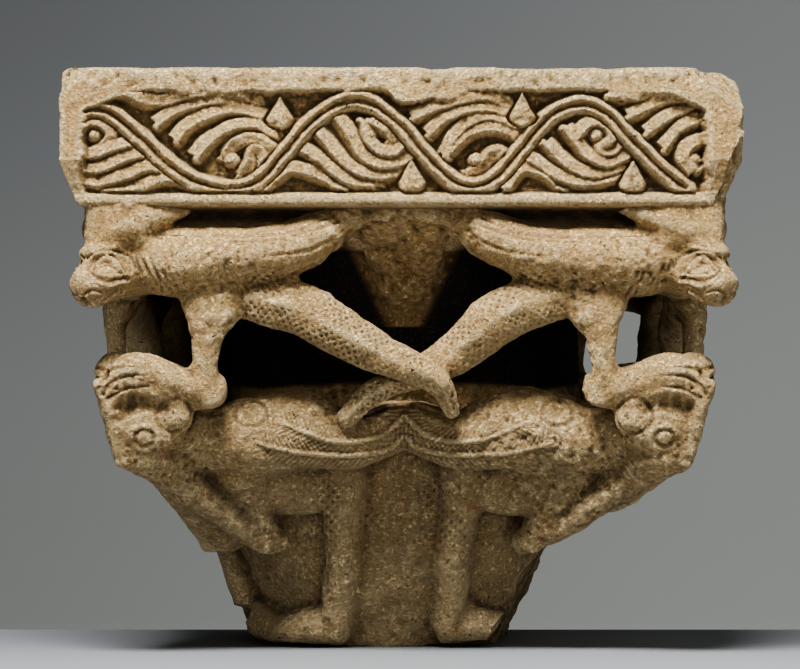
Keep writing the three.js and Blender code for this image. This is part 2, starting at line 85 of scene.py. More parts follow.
def roughNoise(points, size, seed=0, layers=4):
    total = np.zeros(len(points))
    for layer in range(layers):
        total += smoothNoise(points, size / 2 ** layer, seed + 11 * layer) / 2 ** layer
    return total


# strokes: ridges and grooves on a face, as seen from its front
def curveThrough(points, perSpan=8):
    points = np.array(points, float)
    padded = np.vstack([2 * points[0] - points[1], points, 2 * points[-1] - points[-2]])
    rows = []
    for i in range(len(points) - 1):
        a, b, c, d = padded[i:i + 4]
        for t in np.linspace(0, 1, perSpan, endpoint=False):
            rows.append(0.5 * (2 * b + (c - a) * t + (2 * a - 5 * b + 4 * c - d) * t ** 2
                               + (3 * b - a - 3 * c + d) * t ** 3))
    rows.append(points[-1])
    return np.array(rows)


def alongLine(places, line):
    # distance to a line, the signed distance to its side, and how far along it the nearest point is
    starts, spans = line[:-1], np.diff(line, axis=0)
    lengths = np.linalg.norm(spans, axis=1)
    run = np.concatenate([[0], np.cumsum(lengths)])
    best = np.full(len(places), 1e9)
    side = np.zeros(len(places))
    reach = np.zeros(len(places))
    for start, span, length, before in zip(starts, spans, lengths, run):
        offset = places - start
        t = np.clip(offset @ span / max(length, 1e-6) ** 2, 0, 1)
        away = offset - t[:, None] * span
        distance = np.hypot(away[:, 0], away[:, 1])
        nearer = distance < best
        best = np.where(nearer, distance, best)
        turn = np.sign(span[0] * offset[:, 1] - span[1] * offset[:, 0])
        side = np.where(nearer, turn * distance, side)
        reach = np.where(nearer, before + t * length, reach)
    return best, side, reach, run[-1]


def nearTo(places, line, width):
    near = np.ones(len(places), bool)
    for axis in range(2):
        near &= places[:, axis] > line[:, axis].min() - width
        near &= places[:, axis] < line[:, axis].max() + width
    return near


def strokeHeight(places, path, width, height, taper=(0.5, 1, 0.7), power=0.6, perSpan=6):
    # a ridge, round or sharp, that narrows towards its ends
    line = curveThrough(path, perSpan)
    near = nearTo(places, line, width)
    rise = np.zeros(len(places))
    if near.any():
        distance, side, reach, length = alongLine(places[near], line)
        scale = np.interp(reach / length, np.linspace(0, 1, len(taper)), taper)
        rise[near] = height * scale ** 0.5 * np.clip(1 - (distance / (width * scale)) ** 2, 0, 1) ** power
    return rise


def domeHeight(places, centre, radius, height, tall=1.0):
    away = (places - np.array(centre)) / np.array([radius, radius * tall])
    return height * np.clip(1 - (away ** 2).sum(1), 0, 1) ** 0.5


# the vine scroll on the slab's front: places are [across, up]
vineStem = [
    (-166, 285), (-162.7, 287.2), (-156.5, 287.7), (-149.2, 284.6), (-137.7, 274.2), (-123.6, 260.6),
    (-110.1, 250.7), (-99.6, 247.1), (-89.7, 246), (-80.3, 247.6), (-73, 252.8), (-64.7, 262.2),
    (-55.8, 272.6), (-46.4, 282.5), (-36, 289.3), (-25.6, 291.9), (-15.6, 289.3), (-7.3, 283),
    (0.5, 276.3), (8.3, 266.9), (17.2, 257), (25, 250.7), (33.4, 247.1), (41.7, 248.1), (49.6, 253.3),
    (58.9, 263.7), (68.3, 275.7), (76.7, 284.1), (86.6, 288.8), (96, 289.3), (104.3, 285.7),
    (112.7, 277.8), (122.1, 267.9), (130.9, 259), (139.8, 251.7), (148.1, 246),
]
leafLobes = [
    [(-139.1, 297.3), (-126.4, 297.5), (-115.1, 299.4)],
    [(-145, 294.9), (-134.2, 290.7), (-123.8, 289.3), (-113.4, 292.4), (-101.2, 294.2), (-87.3, 293.5),
     (-78.6, 290.7)],
    [(-124.7, 279.7), (-118.9, 284.1), (-108.1, 288.4), (-94.2, 290.5), (-80.3, 287.9)],
    [(-114.8, 272.3), (-109.9, 278.5), (-99.5, 283.4), (-87.3, 285.8), (-74.1, 282.7)],
    [(-105, 263.6), (-99.5, 270.5), (-89, 276.8), (-78.2, 277.8), (-69.2, 272.6)],
    [(-69.2, 268.8), (-73.4, 272.6), (-80.7, 274.3), (-88.7, 271.9), (-93.9, 266.4)],
    [(-70.9, 258), (-71.3, 263.9), (-75.5, 268.1), (-80.3, 267), (-81.7, 261.1), (-86.2, 255.2)],
    [(-166.6, 275), (-162.7, 278.5), (-157.2, 278.9), (-152.7, 275.4), (-154, 271.2), (-159.3, 268.4)],
    [(-73.4, 244.4), (-64.7, 251.7), (-58.8, 254.9), (-49, 252.8), (-34.8, 246.5)],
    [(-54.6, 266), (-47.3, 261.1), (-36.9, 253.1), (-28.2, 248.6), (-16.3, 247.2)],
    [(-45.6, 274), (-38.6, 265), (-28.2, 255.6), (-16, 251.1), (-3.8, 252.8)],
    [(-34.8, 280.6), (-29.9, 272.6), (-23.6, 262.9), (-13.6, 257), (0.3, 258.7), (5.9, 263.2)],
    [(-22.3, 278.2), (-19.8, 269.8), (-12.5, 263.6), (-3.8, 263.9), (0, 269.8), (-3.1, 276.1)],
    [(-16.7, 279.6), (-11.5, 276.1), (-8, 271.9), (-9.7, 269.5)],
    [(-3.1, 299.4), (3.8, 298.3), (10.1, 295.2)],
    [(7, 282.3), (20.5, 287.6), (32.7, 291), (43.5, 292.4), (52.2, 289)],
    [(15.3, 275), (22.3, 281.3), (34.4, 285.8), (46.6, 286.5), (56, 282.3)],
    [(24, 265), (26.8, 271.9), (35.5, 279.6), (46.6, 282), (57, 277.8)],
    [(24, 264.6), (30.9, 270.9), (39.6, 275.7), (50.1, 275.4), (59.1, 269.8)],
    [(55.3, 262.5), (50.1, 266.7), (43.8, 265), (38.9, 258), (35.1, 257)],
    [(55.3, 246.2), (61.5, 254.2), (70.9, 253.1), (80.3, 246.5)],
    [(66.1, 260.1), (72.7, 255.2), (84.8, 249.3), (98.8, 247.9), (109.9, 250)],
    [(74.4, 267.7), (79.6, 261.5), (90.1, 254.5), (100.5, 251.7), (111.6, 254.5)],
    [(84.8, 275.4), (89.7, 268.4), (95.6, 261.1), (105.7, 257), (116.8, 261.8)],
    [(92.7, 273.7), (97.4, 278.5), (103.6, 278.2), (107.1, 273), (101.5, 268.1), (102.6, 263.6),
     (109.5, 263.6), (114.1, 268.4)],
    [(109.2, 292.8), (119.6, 291.7), (130.7, 293.8)],
    [(120, 283.4), (128, 286.9), (137, 291), (146.7, 291.4)],
    [(129, 275.7), (137, 281.3), (148.5, 286.2)],
    [(138.4, 268.1), (145.4, 276.1), (153.7, 280.6)],
    [(151.6, 258.4), (148.1, 263.2), (151.6, 268.4), (160, 270.2)],
]
endLobes = [
    [(-170, 264.6), (-160.3, 262.2), (-150.6, 265.3), (-140.8, 268.1)],
    [(-168.6, 256.6), (-156.8, 254.5), (-144.7, 259.4), (-131.8, 263.2)],
    [(-168, 249), (-156.8, 247.6), (-142.9, 251.1), (-131.8, 255.6), (-119.3, 254.5)],
    [(-149.9, 244.1), (-136, 245.5), (-123.8, 250), (-115.1, 249), (-107.1, 245.5)],
]
curlBuds = [(-89.7, 261.1), (-18.4, 274.3), (37.6, 261.1), (100.5, 274.3), (150.9, 261.1), (-158.6, 273.7)]
vineBuds = [(-65, 285.5), (61.9, 286.9), (3.8, 252.4), (119.6, 252.1)]


slabForm = dict(
    frontSpacing=0.64, otherSpacing=2.3, reliefRows=80, # how fine the mesh is
    stemCrest=8.6, lobeCrest=8.4, budCrest=8.2, tipReach=2.8,
    leftWidening=3.8,
    bedRings=(0.88, 0.76, 0.64, 0.52, 0.4, 0.28, 0.16),
    chips=[ # corner, size at the foot and at the head of the break, lowest and highest point
        ((-1, -1), (21, 50), (0.4, 1), 227, 254),
        ((-1, -1), (1, 1), (9, 12), 293, 309),
        ((1, -1), (25, 51), (2, 4), 227, 271),
        ((1, -1), (3.5, 3.5), (34, 50), 288, 309),
    ],
)


def lobeHeight(places, path, tipFirst):
    # a chip-carved lobe: a sharp crest, a gentle facet on one side and a steep one below
    path = np.array(path)
    end, before = (0, 1) if tipFirst else (-1, -2)
    forward = path[end] - path[before]
    path[end] += slabForm["tipReach"] * forward / np.linalg.norm(forward)
    line = curveThrough(path, 6)
    near = np.flatnonzero(nearTo(places, line, 9))
    distance, side, reach, length = alongLine(places[near], line)
    share = reach / length if tipFirst else 1 - reach / length
    crest = slabForm["lobeCrest"] * np.interp(share, [0, 0.08, 0.6, 1], [0.94, 1, 0.95, 0.66])
    fall = np.where(side < 0, 1.9, 0.36) * distance
    fall = np.where(share < 0.001, 3.4 * np.clip(distance - 1.9, 0, None) + 0.5 * distance, fall)
    fall += 2.4 * np.clip(distance - np.where(side < 0, 2.6, 5.4), 0, None)
    height = np.zeros(len(places))
    height[near] = np.clip(crest - fall, 0, None)
    return height


def budHeight(places, across, up):
    # a drop with its point upwards
    rise = (places[:, 1] - up) / 8.8
    upper = np.clip(1 - (rise + 0.35) / 1.35, 0, 1) ** 0.85
    lower = np.sqrt(np.clip(1 - ((-0.35 - rise) / 0.65) ** 2, 0, 1))
    wide = 7.6 * np.clip(np.where(rise > -0.35, upper, lower), 0.01, 1)
    reach = np.where(np.abs(rise) < 1, np.abs(places[:, 0] - across) / wide, 9)
    return slabForm["budCrest"] * np.clip(1 - reach ** 2.6, 0, 1) ** 0.6, reach


def vineRelief(places):
    # height above the sunk bed of the panel
    rough = np.stack([places[:, 0], np.full(len(places), 3.0), places[:, 1]], 1)
    drift = np.stack([roughNoise(rough, 9, 5, 3), roughNoise(rough, 9, 6, 3)], 1) * 0.5
    places = places + drift
    relief = np.zeros(len(places))
    for path in leafLobes:
        relief = np.maximum(relief, lobeHeight(places, path, True))
    for path in endLobes:
        relief = np.maximum(relief, lobeHeight(places, path, False))
    for centre in curlBuds:
        relief = np.maximum(relief, domeHeight(places, centre, 4.5, 7.6))
    line = curveThrough(vineStem, 6)
    near = np.flatnonzero(nearTo(places, line, 8))
    distance, side, reach, length = alongLine(places[near], line)
    off = np.abs(np.abs(side) - 2.5)
    stem = slabForm["stemCrest"] - np.where(np.abs(side) < 2.5, 1.5, 1.0) * off
    stem = np.clip(stem - 2.6 * np.clip(distance - 4.6, 0, None), 0, None) * (distance < 6.5)
    moat = 0.15 + 0.85 * smoothStep(distance, 4.6, 5.8)
    relief[near] = np.maximum(stem, relief[near] * moat)
    for across, up in vineBuds:
        drop, reach = budHeight(places, across, up)
        drop *= 1 + 0.1 * roughNoise(rough, 3.4, 21, 2)
        relief = np.where(drop > 0, drop, relief * smoothStep(reach, 1, 1.25))
    return relief


# the slab
def slabRows():
    # each row: flush outline, sunk outline, height, and how far the relief counts
    rows = [(out, out, up, 0) for out, up in [
        (60, 216), (122, 216), (130, 218), (132.5, 222), (135, 226), (138, 229.5), (142, 232.3),
        (147, 234.3), (153, 235.6), (160, 236.4), (166, 237), (169, 237.8), (170, 239.2), (170, 241)]]
    rows += [(170, 169.7, 242.6, 0), (170.2, 168.4, 243.6, 0), (170.4, 166.8, 244.3, 0.3)]
    for up in np.linspace(245, 295.6, slabForm["reliefRows"]):
        flush = np.interp(up, [245, 261], [170.4, halfWidth])
        fillet = 1.4 * smoothStep(np.array(248.5 - up), 0, 3.5) + 2.0 * smoothStep(np.array(up - 290), 0, 6)
        rows.append((flush, 163.6 + 4.4 * (up - 245) / 50.6 + fillet, up, 1))
    rows += [(halfWidth, 172.5, 296.2, 0.3), (halfWidth, 175.4, 297, 0)]
    rows += [(halfWidth, 176.8 if up < 299 else halfWidth, up, 0) for up in np.linspace(298, 304.4, 7)]
    rounding = [(176.8, 305.6), (176.2, 306.6), (175, 307.4), (173, 307.9), (170, 308)]
    rounding += [(out, 308) for out in np.linspace(165, 70, 12)]
    rows += [(out, out, up, 0) for out, up in rounding]
    return np.array(rows)


def sideColumns(spacing):
    count = int(2 * halfWidth / spacing)
    return np.linspace(-1, 1, count, endpoint=False)


def turned(points, quarter):
    across, y, up = points.T
    for _ in range(quarter % 4):
        across, y = -y, across
    return np.stack([across, y, up], 1)


def slabSide(quarter):
    rows = slabRows()
    columns = sideColumns(slabForm["frontSpacing"] if quarter == 0 else slabForm["otherSpacing"])
    flush, sunk, up, counts = [np.repeat(rows[:, k], len(columns)) for k in range(4)]
    t = np.tile(columns, len(rows))
    across = t * flush
    places = np.stack([across, up], 1)
    spots = np.stack([across, np.full(len(t), 173.0), up], 1)
    rag = roughNoise(spots, 14, 3 + quarter) * 1.6
    ends = np.where(across < 0, 165, 160) + rag * 2.2
    inPanel = smoothStep(ends - np.abs(across), -0.5, 4.5)
    # the panel's upper edge is worn away here and there
    level = np.interp(across, [-170, -150, -142, -120, -60, -14, -2, 22, 34, 66, 104, 118, 140, 165],
                      [284, 291, 295, 295.5, 297, 297, 292, 292, 297, 297, 297, 293.5, 293.5, 284])
    level += rag * 1.3 + 0.8 * roughNoise(spots, 5, 8 + quarter, 2)
    inPanel *= 1 - smoothStep(up, level - 1.4, level + 1.0) * (up > 250)
    relief = vineRelief(places)
    worn = 0.84 + 0.16 * smoothStep(roughNoise(spots, 30, 17 + quarter), -0.6, 0.4)
    uneven = 0.45 * roughNoise(spots, 4.5, 19 + quarter, 4)
    carved = np.minimum(sunk + counts * (relief * worn + uneven), flush + 0.3)
    out = flush * (1 - inPanel) + carved * inPanel
    points = np.stack([across, -out, up], 1)
    return turned(points, quarter).reshape(len(rows), len(columns), 3)


def chipOff(points, corner, foot, head, low, high, seed):
    # stone beyond a slanted plane at a corner of the slab is pressed back to a rough break
    rise = np.clip((points[:, 2] - low) / (high - low), 0, 1)
    legs = [foot[k] + (head[k] - foot[k]) * rise for k in (0, 1)]
    inward = [halfWidth - corner[k] * points[:, k] for k in (0, 1)]
    rough = 2.2 * roughNoise(points, 16, seed) + 0.9 * roughNoise(points, 4, seed + 5, 2)
    excess = 1 - inward[0] / np.maximum(legs[0], 1) - inward[1] / np.maximum(legs[1], 1)
    size = 1 / np.hypot(1 / np.maximum(legs[0], 1), 1 / np.maximum(legs[1], 1))
    depth = np.clip(excess * size + rough * smoothStep(excess * size, -1.5, 2), 0, None)
    depth *= (points[:, 2] > low - 12) & (points[:, 2] < high + 1)
    normal = np.stack([1 / np.maximum(legs[0], 1), 1 / np.maximum(legs[1], 1)], 1)
    normal /= np.linalg.norm(normal, axis=1)[:, None]
    moved = points.copy()
    for k in (0, 1):
        moved[:, k] -= corner[k] * normal[:, k] * depth
    return moved


def buildSlab():
    sides = [slabSide(quarter) for quarter in range(4)]
    rings = np.concatenate(sides, axis=1)
    rows, columns = rings.shape[:2]
    points = rings.reshape(-1, 3)
    points = np.vstack([points, [0, 0, 227], [0, 0, 308]])
    for corner, foot, head, low, high in slabForm["chips"]:
        points = chipOff(points, corner, foot, head, low, high, int(low + foot[0]))
    edge = smoothStep(points[:, 2], 290, 308)
    wear = roughNoise(points, 22, 41) * 0.8 + roughNoise(points, 5, 42, 3) * 0.4
    corners = smoothStep(np.abs(points[:, :2]).min(1), 160, 177)
    wear += corners * (0.6 + 1.2 * roughNoise(points, 12, 45, 3))
    pits = roughNoise(points, 3.2, 46, 2)
    wear += (0.55 + 0.6 * edge) * np.clip(pits - 0.1, 0, 1) + 0.16 * pits
    wear += 0.5 * edge * roughNoise(points, 9, 48, 3)
    inwards = points * [1, 1, 0]
    inwards /= np.maximum(np.abs(inwards).max(1), 1)[:, None]
    points -= inwards * np.clip(wear, -0.4, 2)[:, None] * (0.5 + edge)[:, None]
    # the block is a little wider to the left
    leftwards = smoothStep(-points[:, 0], 60, 177) * smoothStep(points[:, 2], 232, 246)
    points[:, 0] -= slabForm["leftWidening"] * leftwards
    points[:, 2] += edge * (1.2 - np.clip(roughNoise(points, 18, 44), -0.2, 1) * 1.3)
    i, j = np.meshgrid(np.arange(rows - 1), np.arange(columns), indexing="ij")
    right = (j + 1) % columns
    here, above = i * columns, (i + 1) * columns
    quads = np.stack([here + j, here + right, above + right, above + j], -1)
    # rings across the upper bed, from the rim inwards
    rim, middle = points[(rows - 1) * columns:rows * columns], points[-1]
    bed = np.array([middle + (rim - middle) * [share, share, share ** 3] for share in slabForm["bedRings"]])
    bed[:, :, 2] -= 0.5 + 0.5 * roughNoise(bed.reshape(-1, 3), 16, 49, 3).reshape(bed.shape[:2])
    first = len(points)
    points = np.vstack([points, bed.reshape(-1, 3)])
    starts = [(rows - 1) * columns] + [first + k * columns for k in range(len(bed))]
    ring = np.arange(columns)
    nextRing = (ring + 1) % columns
    quads = [quads.reshape(-1, 4)]
    for start, inner in zip(starts, starts[1:]):
        quads.append(np.stack([start + ring, start + nextRing, inner + nextRing, inner + ring], 1))
    fans = np.concatenate([
        np.stack([np.full(columns, rows * columns), nextRing, ring], 1),
        np.stack([np.full(columns, rows * columns + 1), starts[-1] + ring, starts[-1] + nextRing], 1)])
    return points, [tuple(q) for q in np.concatenate(quads)] + [tuple(f) for f in fans]


def leaned(points):
    moved = points.copy()
    moved[:, 0] += blockShift * np.minimum(1, points[:, 2] / leanHeight)
    return moved


def meshObject(name, points, faces):
    mesh = bpy.data.meshes.new(name)
    mesh.from_pydata([tuple(point) for point in points], [], faces)
    mesh.update()
    made = bpy.data.objects.new(name, mesh)
    bpy.context.collection.objects.link(made)
    return made


# figures: limbs and masses in hundredths of the half width and of the bell's height
def place(at, side=1):
    across, out, up = at
    return np.array([side * across * halfWidth / 100, -out * halfWidth / 100, up * bellHeight / 100])


def limb(path, half, deep, side=1, facing=(0, -1, 0), sides=20, steps=7):
    centres = curveThrough([place(at, side) for at in path], steps)
    widths = curveThrough(np.array(half)[:, None], steps)[:, 0] * halfWidth / 100
    depths = curveThrough(np.array(deep)[:, None], steps)[:, 0] * halfWidth / 100
    tangents = np.gradient(centres, axis=0)
    tangents /= np.linalg.norm(tangents, axis=1)[:, None]
    # rounded ends
    caps = [math.radians(a) for a in (75, 50, 25)]
    rings = []
    def ringAt(centre, tangent, width, depth):
        across = np.cross(facing, tangent)
        across /= np.linalg.norm(across)
        toViewer = np.cross(tangent, across)
        turn = np.linspace(0, 2 * math.pi, sides, endpoint=False)
        return (centre + np.cos(turn)[:, None] * across * width + np.sin(turn)[:, None] * toViewer * depth)
    for a in caps:
        size = 0.6 * min(widths[0], depths[0])
        rings.append(ringAt(centres[0] - tangents[0] * size * math.sin(a), tangents[0],
                            widths[0] * math.cos(a), depths[0] * math.cos(a)))
    for centre, tangent, width, depth in zip(centres, tangents, widths, depths):
        rings.append(ringAt(centre, tangent, width, depth))
    for a in reversed(caps):
        size = 0.6 * min(widths[-1], depths[-1])
        rings.append(ringAt(centres[-1] + tangents[-1] * size * math.sin(a), tangents[-1],
                            widths[-1] * math.cos(a), depths[-1] * math.cos(a)))
    return np.array(rings)


def mass(at, size, square=1.0, side=1, sides=24, rows=15):
    centre = place(at, side)
    radii = np.array(size) * halfWidth / 100
    lat = np.linspace(-math.pi / 2, math.pi / 2, rows + 2)[1:-1]
    lon = np.linspace(0, 2 * math.pi, sides, endpoint=False)
    ball = np.stack([np.cos(lat)[:, None] * np.cos(lon), np.cos(lat)[:, None] * np.sin(lon),
                     np.repeat(np.sin(lat)[:, None], sides, 1)], -1)
    return centre + np.sign(ball) * np.abs(ball) ** square * radii


def lathe(profile, sides=72, square=0.0, start=0, end=1):
    turn = np.linspace(0, 2 * math.pi, sides, endpoint=False)
    rings = []
    for radius, up in profile:
        swell = smoothStep(np.array(up * 100 / bellHeight), start, end)
        reach = radius * (1 + square * swell * (0.5 - 0.5 * np.cos(4 * turn)))
        rings.append(np.stack([reach * np.cos(turn), reach * np.sin(turn), np.full(sides, up)], 1))
    return np.array(rings)


bellProfile = [(1, 0), (1.08, 4), (1.24, 12), (1.38, 23), (1.46, 34), (1.48, 46), (1.42, 60), (1.4, 76),
               (1.52, 88), (1.9, 98)]
nearTail = dict(
    path=[(50, 85.5, 80.5), (40, 86.5, 79.4), (31, 87, 77.5), (23.5, 86.8, 74.4), (16, 87.5, 71),
          (7.2, 88, 67.2), (-1.5, 88.5, 64.8), (-10, 86.5, 61), (-14.5, 81, 54.5)],
    half=[6.5, 7.7, 7.9, 7.9, 7.2, 5.9, 4.9, 3.8, 2.4], deep=[5, 5.4, 5.8, 6, 5.8, 5.4, 4.6, 3.6, 2.4])
farTail = dict(
    path=[(50, 85.5, 80.5), (40, 86, 79.2), (31, 85, 76.8), (23.5, 83, 73), (15, 81.5, 67.5), (6, 80, 63.8),
          (-3, 79.5, 61.3), (-11, 79.5, 58), (-18, 78.5, 52.8)],
    half=[6.5, 7.7, 7.9, 7.7, 6.6, 5.2, 4.2, 3.7, 3.1], deep=[5, 5.4, 5.8, 5.8, 5.4, 5, 4.2, 3.6, 3])
sideLimbs = [
    # dragon: neck, body and folded wing
    dict(path=[(86, 84, 88.5), (78.5, 84, 88.6), (70.5, 84.5, 88.2), (60.6, 85, 88.7), (48, 86, 89.4),
               (36, 86.5, 90.6), (25.8, 86, 93.8), (18, 84.5, 97.3), (12, 82, 100)],
         half=[8, 9.2, 10.6, 10.4, 9, 8.4, 7.6, 5.6, 4.5], deep=[8, 9.5, 12, 12.5, 11.5, 10, 8.4, 6.4, 5]),
    # dragon: leg and foot
    dict(path=[(56.5, 85, 85), (57.6, 88.5, 76.5), (58.6, 88.5, 71.5),
               (59.3, 88, 66), (59, 87, 61.5), (57.5, 85.5, 57.5)],
         half=[11.5, 8.6, 5.4, 4.1, 4.2, 4.8], deep=[7, 4.2, 3.4, 3.2, 3.6, 4.6]),
    dict(path=[(55.5, 84.5, 59.6), (62, 85, 60), (69, 86, 61.2), (77, 86.5, 63),
               (82.5, 86.3, 62.8), (86, 84, 60)],
         half=[5, 5.2, 5.6, 6.2, 6.2, 5], deep=[5, 5.4, 6, 6.6, 6.6, 4.5]),
    dict(path=[(60, 84, 57.2), (69, 85.4, 58), (77, 86.6, 59.6), (82, 86.6, 59.4), (85.5, 84.5, 57.6)],
         half=[3, 3.2, 3, 2.8, 2.3], deep=[4, 5, 5.6, 5.8, 4.5]),
    # dragon: a flat pointed ear
    dict(path=[(90, 91, 93.6), (84, 92.5, 95), (77.5, 92.5, 96.8), (70, 91, 98.4), (64, 89, 99)],
         half=[3.2, 4.4, 4.2, 2.8, 0.9], deep=[3.4, 4, 4, 3, 1.5]),
    # lion: body under the wing, belly, legs and paws
    dict(path=[(72, 74, 50), (59, 69, 48.5), (46.5, 67.5, 49), (32.5, 68, 50.5), (17, 68, 48.3),
               (5, 67, 51), (-4, 66, 52)],
         half=[9.5, 10, 12.6, 12.6, 9.3, 8.4, 7], deep=[10, 10.5, 12, 12, 10, 9, 7]),
    dict(path=[(56, 61, 43), (44, 60, 40), (30, 58, 39), (17, 57, 42)],
         half=[8, 10.5, 10.5, 8], deep=[8, 9, 9, 8]),
    dict(path=[(20, 59, 43), (18, 55, 33), (17, 50.3, 22), (17.3, 45.8, 12), (17.5, 41.5, 4)],
         half=[9.5, 7, 6.2, 5.6, 5.6], deep=[8.5, 8, 7.6, 6.4, 6]),
    dict(path=[(15.5, 41.5, 5), (24, 42.3, 5.5), (31, 39.5, 4.8), (36.5, 34.5, 3.8)],
         half=[6.4, 6, 5, 4], deep=[5.5, 6, 6, 5]),
    dict(path=[(77, 75, 43.5), (66, 67, 38), (53, 60, 31), (43, 55, 26.5), (38, 52, 25)],
         half=[5.6, 5, 5, 5, 4], deep=[7.5, 7.5, 8, 8, 7]),
    dict(path=[(49, 64, 42), (45.5, 60, 34), (41, 55, 25)], half=[10, 7, 4.5], deep=[8.5, 8, 7]),
]
sideMasses = [
    dict(at=(68, 85.6, 53.4), size=(5.2, 4.2, 5.2)), # lion's ear
    dict(at=(77, 87, 48.6), size=(2.3, 2.4, 2)), # lion's eye
    dict(at=(79, 83, 56.6), size=(10, 5, 4)), # lion's forelock, and its curls
]
for i in range(5):
    sideMasses.append(dict(at=(70.5 + 3.9 * i, 87.4 - 0.2 * i, 57.2 - 0.3 * (i % 2)), size=(2.1, 1.9, 1.9)))
cornerLimbs = [
    dict(path=[(66, 66, 89.5), (75, 75, 88.4), (83, 83, 87), (89.5, 89.5, 84.4), (93.8, 93.8, 81.6)],
         half=[9, 11, 10.6, 8.6, 6.8], deep=[9, 9.4, 8.8, 8, 6.4], facing=(0, 0, 1)),
    dict(path=[(80, 80, 93), (88, 88, 91.4), (93.5, 93.5, 89.4)],
         half=[9, 7.6, 5], deep=[3.4, 3.2, 2.4], facing=(0, 0, 1)),
]
cornerMasses = [
    dict(at=(77, 77, 51.5), size=(13, 13, 10.2), square=0.85),
    dict(at=(78, 78, 45.5), size=(9, 9, 7), square=0.9),
    dict(at=(84.5, 84.5, 97.5), size=(10.8, 10.8, 9.5), square=0.4), # stone above the brow
]
for i in range(9):
    # curls down the mane
    t = i / 8
    at = np.array([90, 90, 60.5]) * (1 - t) + np.array([84, 84, 43.5]) * t
    cornerMasses.append(dict(at=tuple(at), size=(2.9, 2.9, 2.1)))


# the boss under the middle of the slab: height, half width and how far out, in hundredths
bossForm = [(74, 3, 50), (76, 4.5, 54), (84, 9, 64), (92, 14.5, 77), (98, 19, 88), (103, 20, 89)]


def bossRings():
    rings = []
    turn = np.linspace(0, 2 * math.pi, 24, endpoint=False)
    for up, across, out in bossForm:
        corner = np.sign([np.cos(turn), np.sin(turn)]) * np.abs([np.cos(turn), np.sin(turn)]) ** 0.6
        spots = [place((across * c, (out + 40) / 2 + (out - 40) / 2 * s, up)) for c, s in corner.T]
        rings.append(spots)
    return np.array(rings)


def soup():
    # all closed forms of the figures and the bell, overlapping
    points, faces, count = [], [], 0
    def add(rings):
        nonlocal count
        made, madeFaces = closedTube(rings)
        points.append(made)
        faces.extend([tuple(v + count for v in face) for face in madeFaces])
        count += len(made)
    bell = [(radius * bedRadius, up * bellHeight / 100) for radius, up in bellProfile]
    add(lathe(bell + [(1.9 * bedRadius, 236)], square=0.1, start=12, end=34))
    add(mass((-66, -22, 68), (17, 15, 22))) # stone left standing behind the left gap
    for quarter in range(4):
        rings = [bossRings()]
        for side in (-1, 1):
            for form in sideLimbs:
                rings.append(limb(side=side, **form))
            rings.append(limb(side=side, **(nearTail if side < 0 else farTail)))
            for form in sideMasses:
                rings.append(mass(side=side, **form))
        for form in cornerLimbs:
            rings.append(limb(**form))
        for form in cornerMasses:
            rings.append(mass(**form))
        for made in rings:
            shape = made.shape
            add(turned(made.reshape(-1, 3), quarter).reshape(shape))
    return np.vstack(points), faces


def closedTube(rings):
    rows, columns = rings.shape[:2]
    i, j = np.meshgrid(np.arange(rows - 1), np.arange(columns), indexing="ij")
    right = (j + 1) % columns
    here, above = i * columns, (i + 1) * columns
    quads = np.stack([here + j, here + right, above + right, above + j], -1)
    points = np.vstack([rings.reshape(-1, 3), rings[0].mean(0), rings[-1].mean(0)])
    faces = [tuple(face) for face in quads.reshape(-1, 4)]
    first, last, top = rows * columns, rows * columns + 1, (rows - 1) * columns
    for k in range(columns):
        after = (k + 1) % columns
        faces.append((first, after, k))
        faces.append((last, top + k, top + after))
    return points, faces


def fused(points, faces, voxel, smoothing):
    made = meshObject("rough", points, faces)
    remesh = made.modifiers.new("fuse", "REMESH")
    remesh.mode = "VOXEL"
    remesh.voxel_size = voxel
    smooth = made.modifiers.new("smooth", "SMOOTH")
    smooth.factor = 0.5
    smooth.iterations = smoothing
    graph = bpy.context.evaluated_depsgraph_get()
    mesh = bpy.data.meshes.new_from_object(made.evaluated_get(graph))
    bpy.data.objects.remove(made)
    return mesh


def pointsOf(mesh):
    flat = np.empty(3 * len(mesh.vertices))
    mesh.vertices.foreach_get("co", flat)
    return flat.reshape(-1, 3)


def normalsOf(mesh):
    flat = np.empty(3 * len(mesh.vertices))
    mesh.vertex_normals.foreach_get("vector", flat)
    return flat.reshape(-1, 3)


def breakOff(points, turnAngle, foot, head, up, width, seed):
    # stone beyond a slanted plane is pressed back onto it
    direction = np.array([math.cos(turnAngle), math.sin(turnAngle), 0])
    sideways = np.array([-math.sin(turnAngle), math.cos(turnAngle), 0])
    reach = points @ direction
    limit = foot + (head - foot) * points[:, 2] / up
    rough = 2.5 * roughNoise(points, 26, seed) + 1.2 * roughNoise(points, 7, seed + 3, 3)
    excess = reach - limit - rough
    inside = (points[:, 2] < up) & (np.abs(points @ sideways) < width / 2) & (excess > 0)
    return points - direction * (excess * inside)[:, None]


